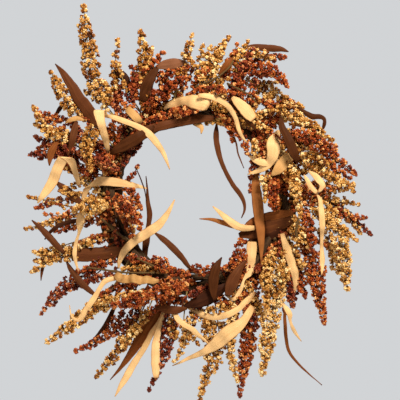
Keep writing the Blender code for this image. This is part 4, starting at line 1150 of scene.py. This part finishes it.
# ---------------------------------------------------------------- leaves
def leaf_line(rows):
    """Midrib, width directions and half widths of a leaf given by its table rows."""
    middle = ring_to_world([row[:3] for row in rows])
    if len(rows[0]) == 5:
        angle = np.radians([row[4] for row in rows])
        side = np.column_stack((np.cos(angle), np.zeros(len(rows)), np.sin(angle)))
    else:
        along = unit_rows(np.gradient(middle, axis=0))
        side = unit_rows(np.column_stack((along[:, 2], np.zeros(len(along)), -along[:, 0])))
    return middle, side, np.array([row[3] for row in rows]) * MM


def top_leaves():
    """Midribs and half widths of the leaves that no seed may lie in front of."""
    leaves = []
    for name, (_, _, rows) in LEAVES.items():
        if name not in COVERED_LEAVES:
            knots, _, half = leaf_line(rows)
            middle = smooth_path(knots, 0.004)
            leaves.append((middle, np.interp(path_distances(middle), path_distances(knots), half)))
    return leaves


def build_leaf(name, colour, looks, rows, seed):
    """A dry leaf: folded along its midrib, curled across, rippled at its edges and twisted."""
    fold, curl, ripple, twist = looks
    random = np.random.default_rng(seed)
    middle, side, half = leaf_line(rows)
    fine = smooth_path(np.column_stack((middle, side * MM, half)), LEAF_ROW_STEP)
    middle, side, half = fine[:, :3], unit_rows(fine[:, 3:6]), np.maximum(fine[:, 6], LEAF_LEAST_HALF)
    face = unit_rows(np.cross(unit_rows(np.gradient(middle, axis=0)), side))
    distance = path_distances(middle)
    share = distance / distance[-1]
    turn = np.radians(twist) * (share - 0.5) + 0.10 * np.sin(share * 7 + random.random() * 6)
    side, face = turned(side, face, turn), turned(face, -side, turn)
    phase = random.random(4) * math.tau
    wander = sum(reach * np.sin(distance * rate + start)
                 for (reach, rate), start in zip(LEAF_WANDER, phase[2:]))
    middle = middle + face * wander[:, None]
    u = np.linspace(-1, 1, LEAF_COLUMNS)
    bend = max(0.5 * curl, 0.05) * (0.7 + 0.5 * np.sin(share * 4 + random.random() * 6))[:, None]
    sideways = np.sin(bend * u) / bend
    lift = (1 - np.cos(bend * u)) / bend + fold * np.abs(u)
    right, left = (np.sin(distance * rate + start)[:, None] for rate, start in zip(RIPPLE_RATES, phase))
    wave = ripple * 0.14 * np.abs(u) ** 2 * np.where(u > 0, right, left)
    ribs = 0.006 * np.cos(u * RIB_RATE)
    wear = random.normal(0, 1, WEAR_STEPS)
    half = half * (1 + 0.03 * np.interp(distance, np.linspace(0, distance[-1], WEAR_STEPS), wear))
    height = (lift + wave + ribs) * half[:, None]
    surface = middle[:, None] + side[:, None] * (sideways * half[:, None])[..., None]
    surface = surface + face[:, None] * height[..., None]
    thick = face[:, None] * (LEAF_HALF_THICKNESS * (1.25 - 0.5 * np.abs(u)))[None, :, None]
    shape = Shape()
    loft(shape, np.concatenate((surface + thick, (surface - thick)[:, ::-1]), axis=1))
    return shape.build(name, LEAF_MATERIALS[colour])


def make_leaves():
    for index, (name, (colour, looks, rows)) in enumerate(LEAVES.items()):
        piece = build_leaf(f"{name}_dry", colour, looks, rows, 300 + index)
        node = name if name in frame["nodes"] else None
        on_wreath(piece, node)


# ---------------------------------------------------------------- vines and hanger
def build_vine(name, line, radius, material, seed, closed=False):
    """A rough vine along a line: uneven thickness, ridges along it and a few knots."""
    random = np.random.default_rng(seed)
    fine = smooth_loop(line, VINE_STEP) if closed else smooth_path(line, VINE_STEP)
    count = len(fine)
    turn = np.arange(VINE_SIDES)[None] * math.tau / VINE_SIDES
    place = np.arange(count)[:, None] / count * math.tau
    ridges = sum(0.06 * np.sin(turn * k + place * random.integers(3, 9) + random.random() * 6)
                 for k in (2, 3, 5))
    swell = sum(0.05 * np.sin(place * k + random.random() * 6) for k in (5, 11, 23))
    grain = random.normal(0, 0.025, (count, VINE_SIDES))
    knots = np.zeros((count, 1))
    for centre in random.integers(0, count, max(2, count // 45)):
        apart = np.abs(np.arange(count) - centre)
        knots[:, 0] += 0.35 * np.exp(-(np.minimum(apart, count - apart) / 1.3) ** 2)
    rings = tube_rows(fine, 1.0, VINE_SIDES) - fine[:, None]
    radii = radius * (1 + ridges + swell + grain + knots)
    shape = Shape()
    loft(shape, fine[:, None] + rings * radii[..., None], closed=closed)
    return shape.build(name, material)


def bundle_loop(turns, phase, random):
    """A loop round the ring, beside the bundle's middle, that wanders in and out of it."""
    angles = np.arange(90) * math.tau / 90
    turn = phase + turns * angles
    reach = THIN_VINE_REACH + THIN_VINE_WANDER * np.sin(angles * 5 + random.random() * 6)
    radius = RING_RADIUS + reach * np.cos(turn)
    loop = np.column_stack((radius * np.cos(angles), -reach * np.sin(turn), radius * np.sin(angles)))
    return loop + RING_CENTRE


def make_vines():
    bark, pale = (vine_material(name, *colours) for name, colours in BARK_COLOURS.items())
    for node in frame["nodes"]:
        if node.startswith("vine"):
            _, kind, *number = node.split("_")
            radius, seed, closed = FRAME_VINES[kind]
            line = closed_line(node) if closed else tube_line(node, far_end)[0]
            seed += sum(map(int, number))
            piece = build_vine(f"{node}_bark", line, radius, bark if closed else pale, seed, closed)
            on_wreath(piece, node)
    for index, (radius, points) in enumerate(LOOSE_STEMS):
        piece = build_vine(f"loose_stem_{index + 1}", ring_to_world(points), radius * MM, pale, 90 + index)
        on_wreath(piece)
    random = np.random.default_rng(11)
    for index, (turns, radius) in enumerate(THIN_VINES):
        loop = bundle_loop(turns, index * 0.9, random)
        material = pale if index % 3 == 1 else bark
        on_wreath(build_vine(f"thin_vine_{index + 1}", loop, radius, material, 70 + index, True))


def make_hanger():
    """The frame's own hanging loop, with a better material."""
    hanger = frame["nodes"]["hanging_loop"]
    hanger.data.materials.clear()
    hanger.data.materials.append(wire_material())


# ---------------------------------------------------------------- stage, light and camera
def make_floor():
    place = (0, 0, FLOOR_HEIGHT)
    bpy.ops.mesh.primitive_circle_add(vertices=64, radius=FLOOR_RADIUS, fill_type="NGON", location=place)
    floor = bpy.context.object
    floor.name = "floor"
    material, _, shader = new_material("pale_floor", 0.9)
    shader.inputs["Base Color"].default_value = FLOOR_COLOUR
    shader.inputs["Emission Color"].default_value = FLOOR_COLOUR
    shader.inputs["Emission Strength"].default_value = FLOOR_GLOW
    floor.data.materials.append(material)


def make_room():
    """A soft warm light from all round, and a paler backdrop that only the camera sees."""
    world = bpy.data.worlds.new("studio")
    world.use_nodes = True
    bpy.context.scene.world = world
    tree = world.node_tree
    rays = add_node(tree, "ShaderNodeLightPath")
    seen_or_lit = add_node(tree, "ShaderNodeMixShader")
    tree.links.new(rays.outputs["Is Camera Ray"], seen_or_lit.inputs["Fac"])
    room_light = tree.nodes["Background"]
    backdrop = add_node(tree, "ShaderNodeBackground")
    for socket, (node, (colour, strength)) in enumerate(((room_light, ROOM_LIGHT), (backdrop, BACKDROP)), 1):
        node.inputs["Color"].default_value = colour
        node.inputs["Strength"].default_value = strength
        tree.links.new(node.outputs["Background"], seen_or_lit.inputs[socket])
    tree.links.new(seen_or_lit.outputs["Shader"], tree.nodes["World Output"].inputs["Surface"])


def make_lamps():
    """Round area lights, all aimed at the middle of the ring."""
    for name, (place, size, power, colour) in LAMPS.items():
        data = bpy.data.lights.new(name, "AREA")
        data.shape = "DISK"
        data.size = size
        data.energy = power
        data.color = colour
        lamp = bpy.data.objects.new(name, data)
        lamp.location = place
        direction = Vector(RING_CENTRE) - Vector(place)
        lamp.rotation_euler = direction.to_track_quat("-Z", "Y").to_euler()
        bpy.context.scene.collection.objects.link(lamp)


def make_camera():
    data = bpy.data.cameras.new("camera")
    data.sensor_width = 36
    data.lens = data.sensor_width * CAMERA_DISTANCE / VIEW_WIDTH
    camera = bpy.data.objects.new("camera", data)
    camera.location = (VIEW_OFFSET[0], -CAMERA_DISTANCE, RING_CENTRE[2] + VIEW_OFFSET[1])
    camera.rotation_euler = (math.pi / 2, 0, 0)
    bpy.context.scene.collection.objects.link(camera)
    bpy.context.scene.camera = camera


make_camera()
SEED = seed_template()
SEED_MATERIALS = {colour: seed_material(colour) for colour in SEED_TONES}
STEM_MATERIALS = {colour: stem_material(colour) for colour in STEM_COLOURS}
LEAF_MATERIALS = {colour: leaf_material(colour) for colour in LEAF_COLOURS}
TOP_LEAVES = top_leaves()
make_vines()
make_hanger()
make_sprays()
make_fill()
make_leaves()
make_floor()
make_room()
make_lamps()
bpy.context.scene.view_settings.view_transform = "Standard"
